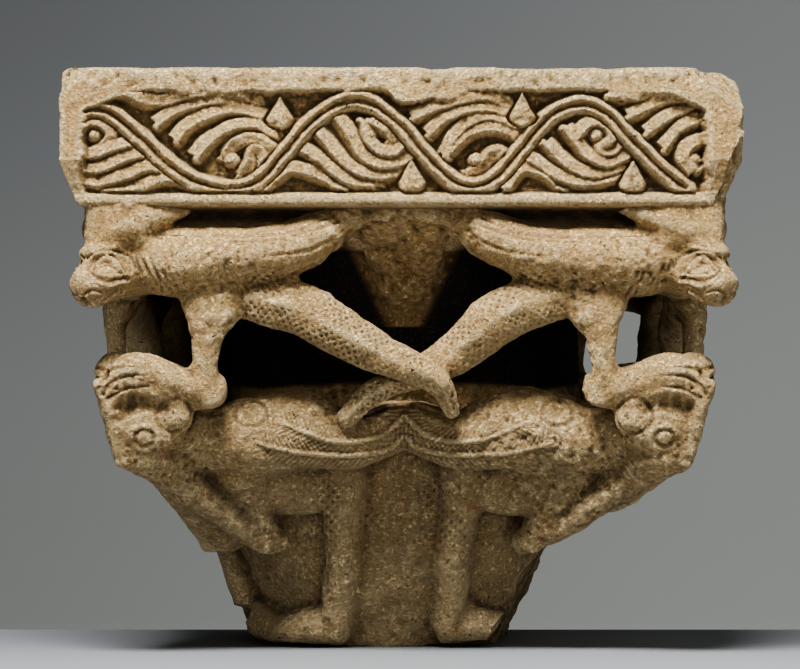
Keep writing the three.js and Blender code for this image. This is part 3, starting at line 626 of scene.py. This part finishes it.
# carving on the figures, as [across, up] on one half of a face; each list has its own depth window
headRidges = [
    [(163.9, 204.3), (159.5, 208.2), (155.3, 210.1), (150.6, 207.7), (146.9, 202.5), (144.3, 200.5)],
    [(163.9, 204.3), (159.5, 201.2), (154, 199.8), (149.2, 200.5), (145.2, 201.2)],
    [(165.2, 202.4), (160, 197.2), (154.3, 194.7), (149.2, 196.6), (144.2, 197.2)],
    [(160, 182.9), (155, 186.8), (149.2, 192)],
]
headGrooves = [
    [(166.4, 209.6), (160, 213.4), (152, 213.6), (144, 210.8), (141, 205)],
    [(159, 205), (155, 206.4), (151, 204.6)],
    [(161.5, 180.4), (156.4, 183.6), (151.4, 187.6), (148, 191)],
    [(168.4, 190), (163, 192.6), (158, 191.4)],
]
neckCreases = []
for i in range(8):
    # uneven creases, fanning down from the ear
    sway = 1.4 * math.sin(2.7 * i)
    neckCreases.append([(141 - 2.1 * i + sway, 216 - 1.3 * (i % 3)), (139.5 - 2.4 * i - sway, 206 - 0.6 * i),
                        (135.4 - 2.9 * i, 197 - 0.9 * i - 3 * (i % 2))])
wingGrooves = [
    [(128.2, 222.2), (107.2, 221.3), (80.9, 221.0), (59.9, 223.1), (40.6, 231.0)],
    [(87.9, 218.2), (63.4, 219.9), (33.6, 229.1)],
    [(73.9, 210.5), (49.4, 214.3), (31.9, 224.5)],
    [(80.9, 194.7), (63.4, 199.3), (47.6, 207.3)],
]
toeGrooves = [
    [(160, 142), (157.6, 149.6), (150.8, 152.8), (141, 153.4)],
    [(158, 138.6), (153.6, 144.8), (146, 148), (134, 148.6)],
    [(155, 136.6), (146, 141.6), (134, 142.4)],
]
featherRopes = [
    [(67.9, 125.0), (52.8, 118.6), (39.4, 114.0), (25.2, 113.6), (11.0, 117.5), (0.5, 126.8)],
    [(78.5, 113.5), (71.4, 110.6), (50.1, 106.9), (25.1, 106.2), (7.5, 109.7), (1.4, 116.1)],
    [(25.2, 126.8), (14.6, 131.8), (3.9, 135.3), (2.8, 136.4)],
]
lionRidges = [
    [(145.0, 125.0), (137.0, 128.2), (128.2, 126.8), (122.1, 122.4)],
    [(148.5, 111.8), (143.2, 108.2), (139.7, 103.0)],
    [(146.4, 137.3), (147.8, 130.6)],
    [(139.7, 138.1), (140.0, 131.0)],
    [(133.3, 137.7), (132.6, 131.3)],
    [(128.1, 136.6), (125.9, 131.3)],
]


def ringHeight(places, centre, radii, width, height):
    away = (places - np.array(centre)) / np.array(radii)
    off = (np.hypot(away[:, 0], away[:, 1]) - 1) * min(radii)
    return height * np.clip(1 - (off / width) ** 2, 0, 1) ** 0.6


def netPattern(reach, side, pitch):
    # drilled dots in staggered rows, from 0 to 1
    wave = np.cos(2 * np.pi * reach / pitch) * np.cos(2 * np.pi * side / pitch)
    return smoothStep(wave, 0.15, 0.75)


def tailPattern(places, tail):
    line = curveThrough(np.array([place(at)[[0, 2]] for at in tail["path"]]), 6)
    distance, side, reach, length = alongLine(places, line)
    half = np.interp(reach / length, np.linspace(0, 1, len(tail["half"])), tail["half"]) * halfWidth / 100
    within = smoothStep(half * 1.15 - distance, 0, 1.5) * (reach > 4)
    ridge = 1.5 * np.clip(1 - np.abs(side) / (0.45 * half), 0, 1)
    dots = -0.75 * netPattern(reach, side + 1.2, 4.3) * smoothStep(np.abs(side) / half, 0.12, 0.25)
    return within, ridge + dots


def figureRelief(points, normals):
    rise = np.zeros(len(points))
    for quarter in range(4):
        local, facing = turned(points, -quarter), -turned(normals, -quarter)[:, 1]
        out = -local[:, 1]
        seen = np.flatnonzero((facing > 0.1) & (out > 60) & (np.abs(local[:, 0]) < out + 14))
        local, out, facing = local[seen], out[seen], smoothStep(facing[seen], 0.1, 0.45)
        up = local[:, 2]
        half = np.stack([np.abs(local[:, 0]), up], 1)
        made = np.zeros(len(seen))
        tooled = quarter == 0
        faded = 0.35 + 0.65 * smoothStep(roughNoise(local, 17, 36, 2), -0.5, 0.5)
        head = smoothStep(out, 132, 140) * (up > 172)
        for path in headRidges:
            made += head * strokeHeight(half, path, 1.4, 1.4)
        for path in headGrooves:
            made -= head * strokeHeight(half, path, 1.2, 1.0)
        patchy = smoothStep(roughNoise(local, 8, 35, 2), -0.5, 0.6)
        for path in neckCreases:
            made -= head * patchy * strokeHeight(half, path, 1.2, 0.9)
        socket = domeHeight(half, (154.5, 204), 12.5, 2.0, 0.66)
        made += head * (domeHeight(half, (154.6, 204), 7.5, 1.7, 0.5) - socket)
        made -= head * domeHeight(half, (168.2, 187), 2.2, 2.2)
        wing = smoothStep(out, 120, 130) * (up > 188)
        for path in wingGrooves:
            made -= wing * strokeHeight(half, path, 1.3, 0.7)
        foot = smoothStep(out, 130, 138) * (up > 132) * (up < 162)
        for path in toeGrooves:
            made -= foot * strokeHeight(half, path, 1.5, 1.3, taper=(0.8, 1, 0.1))
        lion = smoothStep(out, 92, 100) * (up < 141)
        for path in featherRopes:
            made += lion * strokeHeight(half, path, 1.6, 1.1, taper=(0.6, 1, 1))
        for path in lionRidges:
            made += lion * faded * strokeHeight(half, path, 1.8, 0.6)
        made -= lion * ringHeight(half, (81.8, 129), (8.4, 7), 1.3, 0.8)
        made -= lion * faded * ringHeight(half, (121, 127.4), (9.4, 9), 1.3, 1.0)
        made -= lion * ringHeight(half, (136.8, 115.6), (4.8, 4.2), 1.3, 0.8)
        made += lion * faded * ringHeight(half, (136.8, 115.6), (7.6, 6.4), 1.2, 0.5)
        if tooled:
            done = np.zeros(len(seen))
            for tail, side in ((nearTail, -1), (farTail, 1)):
                flat = np.stack([side * local[:, 0], up], 1)
                onTail = (out > 128) & (up > 120) & (up < 205) & (flat[:, 0] < 96)
                near = np.flatnonzero(onTail & (done == 0))
                within, pattern = tailPattern(flat[near], tail)
                made[near] += within * pattern * faded[near]
                done[near] += within > 0.1
            for path in featherRopes[:2]:
                line = curveThrough(path, 6)
                near = np.flatnonzero(nearTo(half, line, 9) & (out > 92))
                distance, side, reach, length = alongLine(half[near], line)
                ticks = 0.5 - 0.5 * np.cos(2 * np.pi * (reach + 0.9 * np.abs(side)) / 2.9)
                band = smoothStep(distance, 1.2, 2) * smoothStep(8 - distance, 0, 2)
                made[near] -= 0.6 * ticks * band * faded[near]
            neck = smoothStep(half[:, 0], 84, 92) * smoothStep(136 - half[:, 0], 0, 10) * (out > 90)
            neck *= smoothStep(up, 92, 97) * smoothStep(124 - up, 0, 6)
            ticks = netPattern(half[:, 0] * 0.8 + up * 0.6, up * 0.5 - half[:, 0] * 0.35, 6)
            made -= 0.45 * neck * ticks * smoothStep(smoothNoise(local, 9, 31), -0.5, 0.3)
            tufts = smoothStep(half[:, 0], 8, 12) * smoothStep(50 - half[:, 0], 0, 6) * (out > 80)
            tufts *= smoothStep(up, 52, 60) * smoothStep(102 - up, 0, 6)
            tufts *= smoothStep(smoothNoise(local, 14, 33), -0.3, 0.4)
            made -= 0.5 * tufts * netPattern(half[:, 0], up, 5.4)
        rise[seen] += facing * made
    return rise


def neighbourMean(values, edges, counts):
    total = np.stack([np.bincount(edges[:, 0], values[edges[:, 1], k], len(values))
                      + np.bincount(edges[:, 1], values[edges[:, 0], k], len(values)) for k in range(3)], 1)
    return total / counts


def solidGrid(pointSets, cell):
    # cells of stone: the skin's cells, and all that can't be reached from outside
    low = np.min([points.min(0) for points in pointSets], 0) - 14 * cell
    high = np.max([points.max(0) for points in pointSets], 0) + 14 * cell
    skin = np.zeros(np.ceil((high - low) / cell).astype(int) + 1, bool)
    for points in pointSets:
        skin[tuple(np.round((points - low) / cell).astype(int).T)] = True
    outside = np.zeros_like(skin)
    outside[0] = True
    while True:
        grown = outside.copy()
        for axis in range(3):
            for step in (-1, 1):
                grown |= np.roll(outside, step, axis)
        grown &= ~skin
        if grown.sum() == outside.sum():
            return low, ~outside
        outside = grown


def boxBlur(grid, reach):
    for axis in range(3):
        padded = np.concatenate([np.zeros_like(grid.take([0], axis))] + [grid], axis).cumsum(axis)
        count = grid.shape[axis]
        ends = np.clip(np.arange(count) + reach + 1, 0, count)
        starts = np.clip(np.arange(count) - reach, 0, count)
        grid = (padded.take(ends, axis) - padded.take(starts, axis)) / (2 * reach + 1)
    return grid


def shutIn(points, normals, low, grids, cell):
    # from 0 on open stone to 1 deep in a gap
    total = np.zeros(len(points))
    for ahead, grid in grids:
        spots = (points + normals * ahead - low) / cell
        base = np.clip(np.floor(spots).astype(int), 0, np.array(grid.shape) - 2)
        part = np.clip(spots - base, 0, 1)
        for corner in range(8):
            step = np.array([corner & 1, (corner >> 1) & 1, (corner >> 2) & 1])
            weight = np.prod(np.where(step, part, 1 - part), axis=1)
            total += weight * grid[tuple((base + step).T)] / len(grids)
    return total


def addWearAndPaintedShade(mesh, low, grids, cell, steps):
    # point attributes: hollow and worn tell fine creases and edges, recess how shut in the stone lies; worn
    # paints paler wear, hollow and recess paint shade
    points, normals = pointsOf(mesh) * 1000, normalsOf(mesh)
    edges = np.empty(2 * len(mesh.edges), np.int64)
    mesh.edges.foreach_get("vertices", edges)
    edges = edges.reshape(-1, 2)
    counts = np.maximum(np.bincount(edges.ravel(), minlength=len(points)), 1)[:, None]
    smooth = points
    for _ in range(steps[0]):
        smooth = neighbourMean(smooth, edges, counts)
    fine = ((smooth - points) * normals).sum(1)
    for _ in range(steps[1]):
        smooth = neighbourMean(smooth, edges, counts)
    broad = ((smooth - points) * normals).sum(1)
    reach = np.abs(points[:, :2] - [blockShift, 0]).max(1)
    aside = np.abs(points[:, :2] - [blockShift, 0]).min(1)
    frontOf = np.interp(points[:, 2], [130, 144, 150, 215, 236, 238], [0, 120, 156, 158, 158, 120])
    behind = smoothStep(frontOf - reach, 8, 40) * (points[:, 2] < 240)
    bossFront = np.interp(points[:, 2], [175, 181, 199, 218, 232, 244], [88, 96, 113, 136, 156, 158])
    bossHalf = np.interp(points[:, 2], [175, 181, 199, 218, 232, 244], [5, 8, 16, 26, 34, 35])
    onBoss = smoothStep(reach - bossFront, -40, -14) * smoothStep(bossHalf + 8 - aside, 0, 10)
    onBoss *= points[:, 2] > 176
    # the gaps under the dragons' heads
    arch = smoothStep(points[:, 2], 142, 150) * smoothStep(206 - points[:, 2], 0, 12)
    arch *= smoothStep(aside, 90, 110)
    enclosed = smoothStep(shutIn(points, normals, low, grids, cell) + 0.12 * arch, 0.3, 0.6)
    # hollow and recess are masks for painted shade: darker in creases, darkest in gaps, behind the figures
    # and under the dragons' heads, less on the boss
    values = {
        "hollow": np.clip(fine / 0.5 + broad / 2.2 - 0.1, 0, 1),
        "worn": np.clip(-fine / 0.45 - broad / 2.0, 0, 1),
        "recess": np.maximum(behind, enclosed) * (1 - 0.9 * onBoss),
    }
    for name, value in values.items():
        attribute = mesh.attributes.new(name, "FLOAT", "POINT")
        attribute.data.foreach_set("value", value.astype(np.float32))


# building
figureForm = dict(
    grain=2.05, smoothing=2, pitting=0.55,
    breaks=[ # direction, distance of the break at the bed and at its head, height, width, seed
        (-0.12, 60.2, 94, 84, 190, 71),
        (3.3, 66, 88, 20, 80, 75),
    ],
    gapCell=5, gapReaches=((14, 1), (26, 2), (45, 4)), # mm ahead of the skin, and cells around
)


def refinedFront(mesh):
    # the faces that look forward get twice the detail
    work = bmesh.new()
    work.from_mesh(mesh)
    chosen = set()
    for face in work.faces:
        centre = face.calc_center_median()
        if face.normal.y < -0.02 and -centre.y > abs(centre.x) - 20 and -centre.y > 30:
            chosen.update(face.edges)
    bmesh.ops.subdivide_edges(work, edges=list(chosen), cuts=1, use_grid_fill=True)
    for _ in range(2):
        front = [vert for vert in work.verts if -vert.co.y > abs(vert.co.x) - 20 and -vert.co.y > 30]
        bmesh.ops.smooth_vert(work, verts=front, factor=0.5,
                              use_axis_x=True, use_axis_y=True, use_axis_z=True)
    bmesh.ops.triangulate(work, faces=work.faces[:])
    work.to_mesh(mesh)
    work.free()


def trianglesOf(mesh):
    mesh.calc_loop_triangles()
    flat = np.empty(3 * len(mesh.loop_triangles), np.int64)
    mesh.loop_triangles.foreach_get("vertices", flat)
    return flat.reshape(-1, 3)


def cutUp(mesh, name, groupOf):
    # pieces of one skin that meet edge to edge, shaded as one
    points, normals, triangles = pointsOf(mesh), normalsOf(mesh), trianglesOf(mesh)
    groups = groupOf(points[triangles].mean(1) * 1000)
    values = {key: np.empty(len(points), np.float32) for key in ("hollow", "worn", "recess")}
    for key, value in values.items():
        mesh.attributes[key].data.foreach_get("value", value)
    made = []
    for part in sorted(set(groups)):
        used, places = np.unique(triangles[groups == part], return_inverse=True)
        places = places.reshape(-1, 3)
        skin = bpy.data.meshes.new(name + part)
        skin.from_pydata(points[used].tolist(), [], places.tolist())
        skin.update()
        skin.polygons.foreach_set("use_smooth", [True] * len(places))
        for key, value in values.items():
            skin.attributes.new(key, "FLOAT", "POINT").data.foreach_set("value", value[used])
        skin.normals_split_custom_set_from_vertices(normals[used].tolist())
        piece = bpy.data.objects.new(name + part, skin)
        bpy.context.collection.objects.link(piece)
        made.append(piece)
        print(piece.name, len(places), "triangles")
    return made


def slabGroup(centres):
    return np.where(-centres[:, 1] > np.abs(centres[:, 0] - blockShift) - 1, "Front", "Rest")


def figureGroup(centres):
    x, y = centres[:, 0] - blockShift, centres[:, 1]
    sideways = np.where(x > 0, "Right", "Left")
    forward = np.where(x > 0, "FrontRight", "FrontLeft")
    return np.where(np.abs(x) > np.abs(y), sideways, np.where(y < 0, forward, "Back"))


slabPoints, slabFaces = buildSlab()
slabMesh = bpy.data.meshes.new("slab whole")
slabMesh.from_pydata((leaned(slabPoints) / 1000).tolist(), [], slabFaces)
slabMesh.update()
print("slab carved")

loosePoints, looseFaces = soup()
figureMesh = fused(loosePoints, looseFaces, figureForm["grain"], figureForm["smoothing"])
refinedFront(figureMesh)
print("figures fused")
points, normals = pointsOf(figureMesh), normalsOf(figureMesh)
pitted = smoothStep(roughNoise(points, 45, 91), -0.1, 0.6)
lift = figureRelief(points, normals)
aside = np.abs(points[:, :2]).min(1)
boss = smoothStep(44 - aside, 0, 8) * smoothStep(points[:, 2], 178, 196)
calm = 1 - 0.6 * (aside > 138) * (points[:, 2] > 180) * (points[:, 2] < 218)
lift += boss * (2.2 * roughNoise(points, 13, 65, 3) + 0.9 * roughNoise(points, 5, 66, 2))
lift += 0.9 * roughNoise(points, 24, 61) + calm * (0.3 + 0.4 * pitted) * roughNoise(points, 6, 62, 3)
coarse = smoothStep(points[:, 2], 184, 196) * smoothStep(226 - points[:, 2], 0, 8)
coarse *= smoothStep(aside, 50, 62) * smoothStep(134 - aside, 0, 8)
pitDepth = calm * figureForm["pitting"] * (0.3 + pitted + 0.9 * coarse)
lift -= pitDepth * np.clip(roughNoise(points, 3.2, 63, 2), -0.2, 1)
points = points + normals * lift[:, None]
for breakForm in figureForm["breaks"]:
    points = breakOff(points, *breakForm)
points[:, 2] = np.clip(points[:, 2], 0, 240)
figureMesh.vertices.foreach_set("co", (leaned(points) / 1000).ravel())
figureMesh.update()
cell = figureForm["gapCell"]
gridLow, stone = solidGrid([leaned(points), leaned(slabPoints)], cell)
grids = [(ahead, boxBlur(stone.astype(float), reach)) for ahead, reach in figureForm["gapReaches"]]
print("gaps felt out")
stonePieces = []
for mesh, name, groupOf, steps in (
        (slabMesh, "slab", slabGroup, (6, 34)),
        (figureMesh, "figures", figureGroup, (3, 18))):
    addWearAndPaintedShade(mesh, gridLow, grids, cell, steps)
    stonePieces += cutUp(mesh, name, groupOf)
    bpy.data.meshes.remove(mesh)
for piece in stonePieces:
    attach(piece, "root")
    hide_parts("capital")
print("figures carved")


# materials
def sRgb(code):
    channels = [int(code[k:k + 2], 16) / 255 for k in (1, 3, 5)]
    return [c / 12.92 if c <= 0.04045 else ((c + 0.055) / 1.055) ** 2.4 for c in channels] + [1]


def addNode(tree, kind, inputs=None, **settings):
    node = tree.nodes.new(kind)
    for name, value in settings.items():
        setattr(node, name, value)
    for socket, value in (inputs or {}).items():
        if isinstance(value, bpy.types.NodeSocket):
            tree.links.new(value, node.inputs[socket])
        else:
            node.inputs[socket].default_value = value
    return node


def plainMaterial(name, code, roughness):
    material = bpy.data.materials.new(name)
    material.use_nodes = True
    shader = material.node_tree.nodes["Principled BSDF"]
    shader.inputs["Base Color"].default_value = sRgb(code)
    shader.inputs["Roughness"].default_value = roughness
    return material


def spotted(tree, coords, size, low, high, detail=4, roughness=0.6):
    # soft patches from 0 to 1, of the given size in mm
    noise = addNode(tree, "ShaderNodeTexNoise", {"Vector": coords, "Scale": 1000 / size, "Detail": detail,
                                                 "Roughness": roughness})
    limits = {"Value": noise.outputs["Fac"], "From Min": low, "From Max": high}
    return addNode(tree, "ShaderNodeMapRange", limits).outputs["Result"]


def stainsAndPaintedLight(tree, below, code, *shares):
    # the colour below, mixed towards another by the product of the shares, for stains and wear and for
    # painted shade and light
    share = shares[0]
    for other in shares[1:]:
        share = addNode(tree, "ShaderNodeMath", {0: share, 1: other}, operation="MULTIPLY").outputs[0]
    mix = addNode(tree, "ShaderNodeMix", {"Factor": share, 6: below, 7: sRgb(code)}, data_type="RGBA")
    return mix.outputs[2]


stoneLook = dict(
    plain="#B9A585", brown="#B38D58", pale="#DCB87C", roughness=0.92, driftSize=70,
    wornEdge="#E2C898", paintedCreaseShade="#5E4A30", paintedGapShade="#5C3B18", paintedDeepShade="#120903",
    specks="#4A3B2A", pitDirt="#6A5335",
    lumpSize=5, lumpDepth=0.0014, pitSize=1.7, pitDepth=0.0018,
)
# tints by height, stains and painted light among them: colour, windows of height in metres with their share,
# patches by size in mm and limits
heightTintsAndPaintedLight = [
    # darker and browner towards the bottom
    ("#B2976A", [(0.15, 0.08, 1)], (50, 0.1, 0.3)),
    ("#A08C66", [(0.15, 0.08, 1)], (34, 0.5, 0.7)),
    ("#A3753C", [(0.15, 0.08, 1)], (16, 0.56, 0.74)), # ochre
    ("#8A5020", [(0.15, 0.08, 1)], (7, 0.62, 0.72)), # rust
    ("#EBCF9C", [(0.055, 0.02, 0.5)], (20, 0.3, 0.6)), # painted bounce light: paler towards the foot of the bell and the paws
    ("#A5855A", [(0.284, 0.292, 0.6)], (15, 0.5, 0.66, 5, 0.7)), # upper border
    ("#8E7044", [(0.247, 0.237, 0.55), (0.226, 0.23, 1)], (13, 0.35, 0.65)), # painted shade on the fillet and cove under the scroll
    ("#8F7850", [(0.21, 0.18, 0.42)], (28, 0.3, 0.6)), # darker and browner in patches, from 0.21 m downwards
]


def makeLimestone():
    # a shelly limestone, chiselled and then weathered: worn pale edges, painted shade in the hollows and
    # gaps, ochre and rust stains lower down, dark specks
    material = plainMaterial("Limestone", stoneLook["plain"], stoneLook["roughness"])
    tree = material.node_tree
    shader = tree.nodes["Principled BSDF"]
    coords = addNode(tree, "ShaderNodeTexCoord").outputs["Object"]
    height = addNode(tree, "ShaderNodeSeparateXYZ", {"Vector": coords}).outputs["Z"]
    hollow, worn, recess = [addNode(tree, "ShaderNodeAttribute", attribute_name=name).outputs["Fac"]
                            for name in ("hollow", "worn", "recess")]
    drift = spotted(tree, coords, stoneLook["driftSize"], 0.25, 0.75, 6)
    base = addNode(tree, "ShaderNodeValToRGB", {"Fac": drift})
    base.color_ramp.elements[0].color = sRgb(stoneLook["brown"])
    base.color_ramp.elements[1].color = sRgb(stoneLook["pale"])
    colour = base.outputs["Color"]
    for code, windows, patches in heightTintsAndPaintedLight:
        shares = [spotted(tree, coords, *patches)]
        for start, end, most in windows:
            limits = {"Value": height, "From Min": start, "From Max": end, "To Max": most}
            shares.append(addNode(tree, "ShaderNodeMapRange", limits).outputs["Result"])
        colour = stainsAndPaintedLight(tree, colour, code, *shares)
    colour = stainsAndPaintedLight(tree, colour, stoneLook["wornEdge"], worn, spotted(tree, coords, 12, 0.2, 0.6))
    # painted shade: darker brown in fine creases, by the hollow mask
    colour = stainsAndPaintedLight(tree, colour, stoneLook["paintedCreaseShade"], hollow, spotted(tree, coords, 9, 0.1, 0.6))
    # painted shade: dark brown in gaps and behind the figures, near black deep inside them, by the recess
    # mask
    colour = stainsAndPaintedLight(tree, colour, stoneLook["paintedGapShade"], recess, spotted(tree, coords, 30, 0.0, 0.4))
    colour = stainsAndPaintedLight(tree, colour, stoneLook["paintedDeepShade"], recess, recess, recess)
    colour = stainsAndPaintedLight(tree, colour, stoneLook["specks"], spotted(tree, coords, 3.2, 0.63, 0.7, 2),
                     spotted(tree, coords, 26, 0.35, 0.65))
    pitSize = stoneLook["pitSize"]
    pits = spotted(tree, coords, pitSize, 0.32, 0.58, 4, 0.72)
    colour = stainsAndPaintedLight(tree, colour, stoneLook["pitDirt"],
                     spotted(tree, coords, pitSize, 0.44, 0.31, 4, 0.72), 0.75)
    tree.links.new(colour, shader.inputs["Base Color"])
    lumpy = spotted(tree, coords, stoneLook["lumpSize"], 0.2, 0.8, 3)
    lumps = addNode(tree, "ShaderNodeBump", {"Strength": 0.8, "Distance": stoneLook["lumpDepth"],
                                             "Height": lumpy})
    bump = addNode(tree, "ShaderNodeBump", {"Strength": 1.0, "Distance": stoneLook["pitDepth"],
                                            "Height": pits, "Normal": lumps.outputs["Normal"]})
    tree.links.new(bump.outputs["Normal"], shader.inputs["Normal"])
    return material


limestone = makeLimestone()
for piece in stonePieces:
    piece.data.materials.append(limestone)

# floor, backdrop, light and camera
studio = dict(
    floorDark="#5C5F61", floorPale="#86888A", wallDark="#5B5D5F", wallPale="#8A8D89",
    floorBends=[(-3, 0), (0.08, 0), (0.11, -0.002), (0.14, -0.007), (0.18, -0.019), (0.23, -0.038),
                (0.3, -0.072), (0.4, -0.122), (0.52, -0.168), (0.7, -0.194), (0.9, -0.2), (2.1, -0.2)],
    wallBends=[(2.1, -0.202), (2.26, -0.198), (2.3, -0.17), (2.31, -0.13), (2.32, 0), (2.33, 0.4),
               (2.34, 0.8), (2.35, 3.5)],
    worldTint="#8E9194", worldStrength=0.04,
    cameraPlace=(0.0047, -1.9, 0.125), cameraTilt=1.48, lens=149,
    lights=[ # name, place, aimed at, size, power
        ("key", (-0.22, -1.0, 1.8), (0, 0, 0.15), (0.7, 0.5), 110),
        ("front fill", (0.25, -2.3, 0.5), (0, 0, 0.14), (1.5, 0.8), 12),
        ("left fill", (-1.6, -0.7, 0.6), (0, 0, 0.15), (0.8, 1.0), 0.3),
        ("right fill", (1.6, -0.8, 0.7), (0, 0, 0.15), (0.8, 1.0), 0.8),
        ("backdrop light", (1.1, 1.3, 1.5), (0.7, 2.3, 0.1), (1.8, 0.5), 12),
    ],
)


def paperSheet(name, bends):
    # a wide sheet of paper that follows the bends, given as [depth, height]
    count = len(bends)
    sheet = meshObject(name, [(x, y, z) for x in (-4, 4) for y, z in bends],
                       [(i + count, i + count + 1, i + 1, i) for i in range(count - 1)])
    sheet.data.polygons.foreach_set("use_smooth", [True] * (count - 1))
    return sheet


def paperWithPaintedFalloff(name, dark, pale, spans):
    # matt paper whose tone drifts along the given axes, painting the falloff of the light across it
    material = plainMaterial(name, pale, 0.85)
    tree = material.node_tree
    coords = addNode(tree, "ShaderNodeTexCoord").outputs["Object"]
    parts = addNode(tree, "ShaderNodeSeparateXYZ", {"Vector": coords})
    total = None
    for axis, start, end, share in spans:
        limits = {"Value": parts.outputs[axis], "From Min": start, "From Max": end, "To Max": share}
        part = addNode(tree, "ShaderNodeMapRange", limits, interpolation_type="SMOOTHSTEP").outputs["Result"]
        total = part if total is None else addNode(tree, "ShaderNodeMath", {0: total, 1: part}).outputs[0]
    mix = addNode(tree, "ShaderNodeMix", {"Factor": total, 6: sRgb(dark), 7: sRgb(pale)}, data_type="RGBA")
    tree.links.new(mix.outputs[2], tree.nodes["Principled BSDF"].inputs["Base Color"])
    return material


# the paper under the stone falls gently away behind it, over the edge of a low board
floor = paperSheet("floor", studio["floorBends"])
# painted light: the floor paler towards the front and the right
floor.data.materials.append(paperWithPaintedFalloff("Pale floor", studio["floorDark"], studio["floorPale"],
                                        [("Y", 0.1, -0.25, 0.8), ("X", -0.4, 0.4, 0.2)]))
backdrop = paperSheet("backdrop", studio["wallBends"])
# painted shade: the backdrop darker towards the top and the left
backdrop.data.materials.append(paperWithPaintedFalloff("Grey paper", studio["wallDark"], studio["wallPale"],
                                           [("X", -0.69, 0.69, 0.35), ("Z", 0.78, -0.05, 0.65)]))
print("paper laid")


def addLight(name, place, target, size, power):
    data = bpy.data.lights.new(name, "AREA")
    data.shape = "RECTANGLE"
    data.size, data.size_y = size
    data.energy = power
    made = bpy.data.objects.new(name, data)
    bpy.context.collection.objects.link(made)
    made.location = place
    direction = Vector(target) - Vector(place)
    made.rotation_euler = direction.to_track_quat("-Z", "Y").to_euler()


for light in studio["lights"]:
    addLight(*light)
world = bpy.data.worlds.new("world")
world.use_nodes = True
background = world.node_tree.nodes["Background"]
background.inputs["Color"].default_value = sRgb(studio["worldTint"])
background.inputs["Strength"].default_value = studio["worldStrength"]
bpy.context.scene.world = world

camera = bpy.data.objects.new("camera", bpy.data.cameras.new("camera"))
bpy.context.collection.objects.link(camera)
camera.location = studio["cameraPlace"]
camera.rotation_euler = (math.radians(90 + studio["cameraTilt"]), 0, 0)
camera.data.sensor_width = 36
camera.data.lens = studio["lens"]
bpy.context.scene.camera = camera
bpy.context.scene.view_settings.look = "AgX - Medium High Contrast"
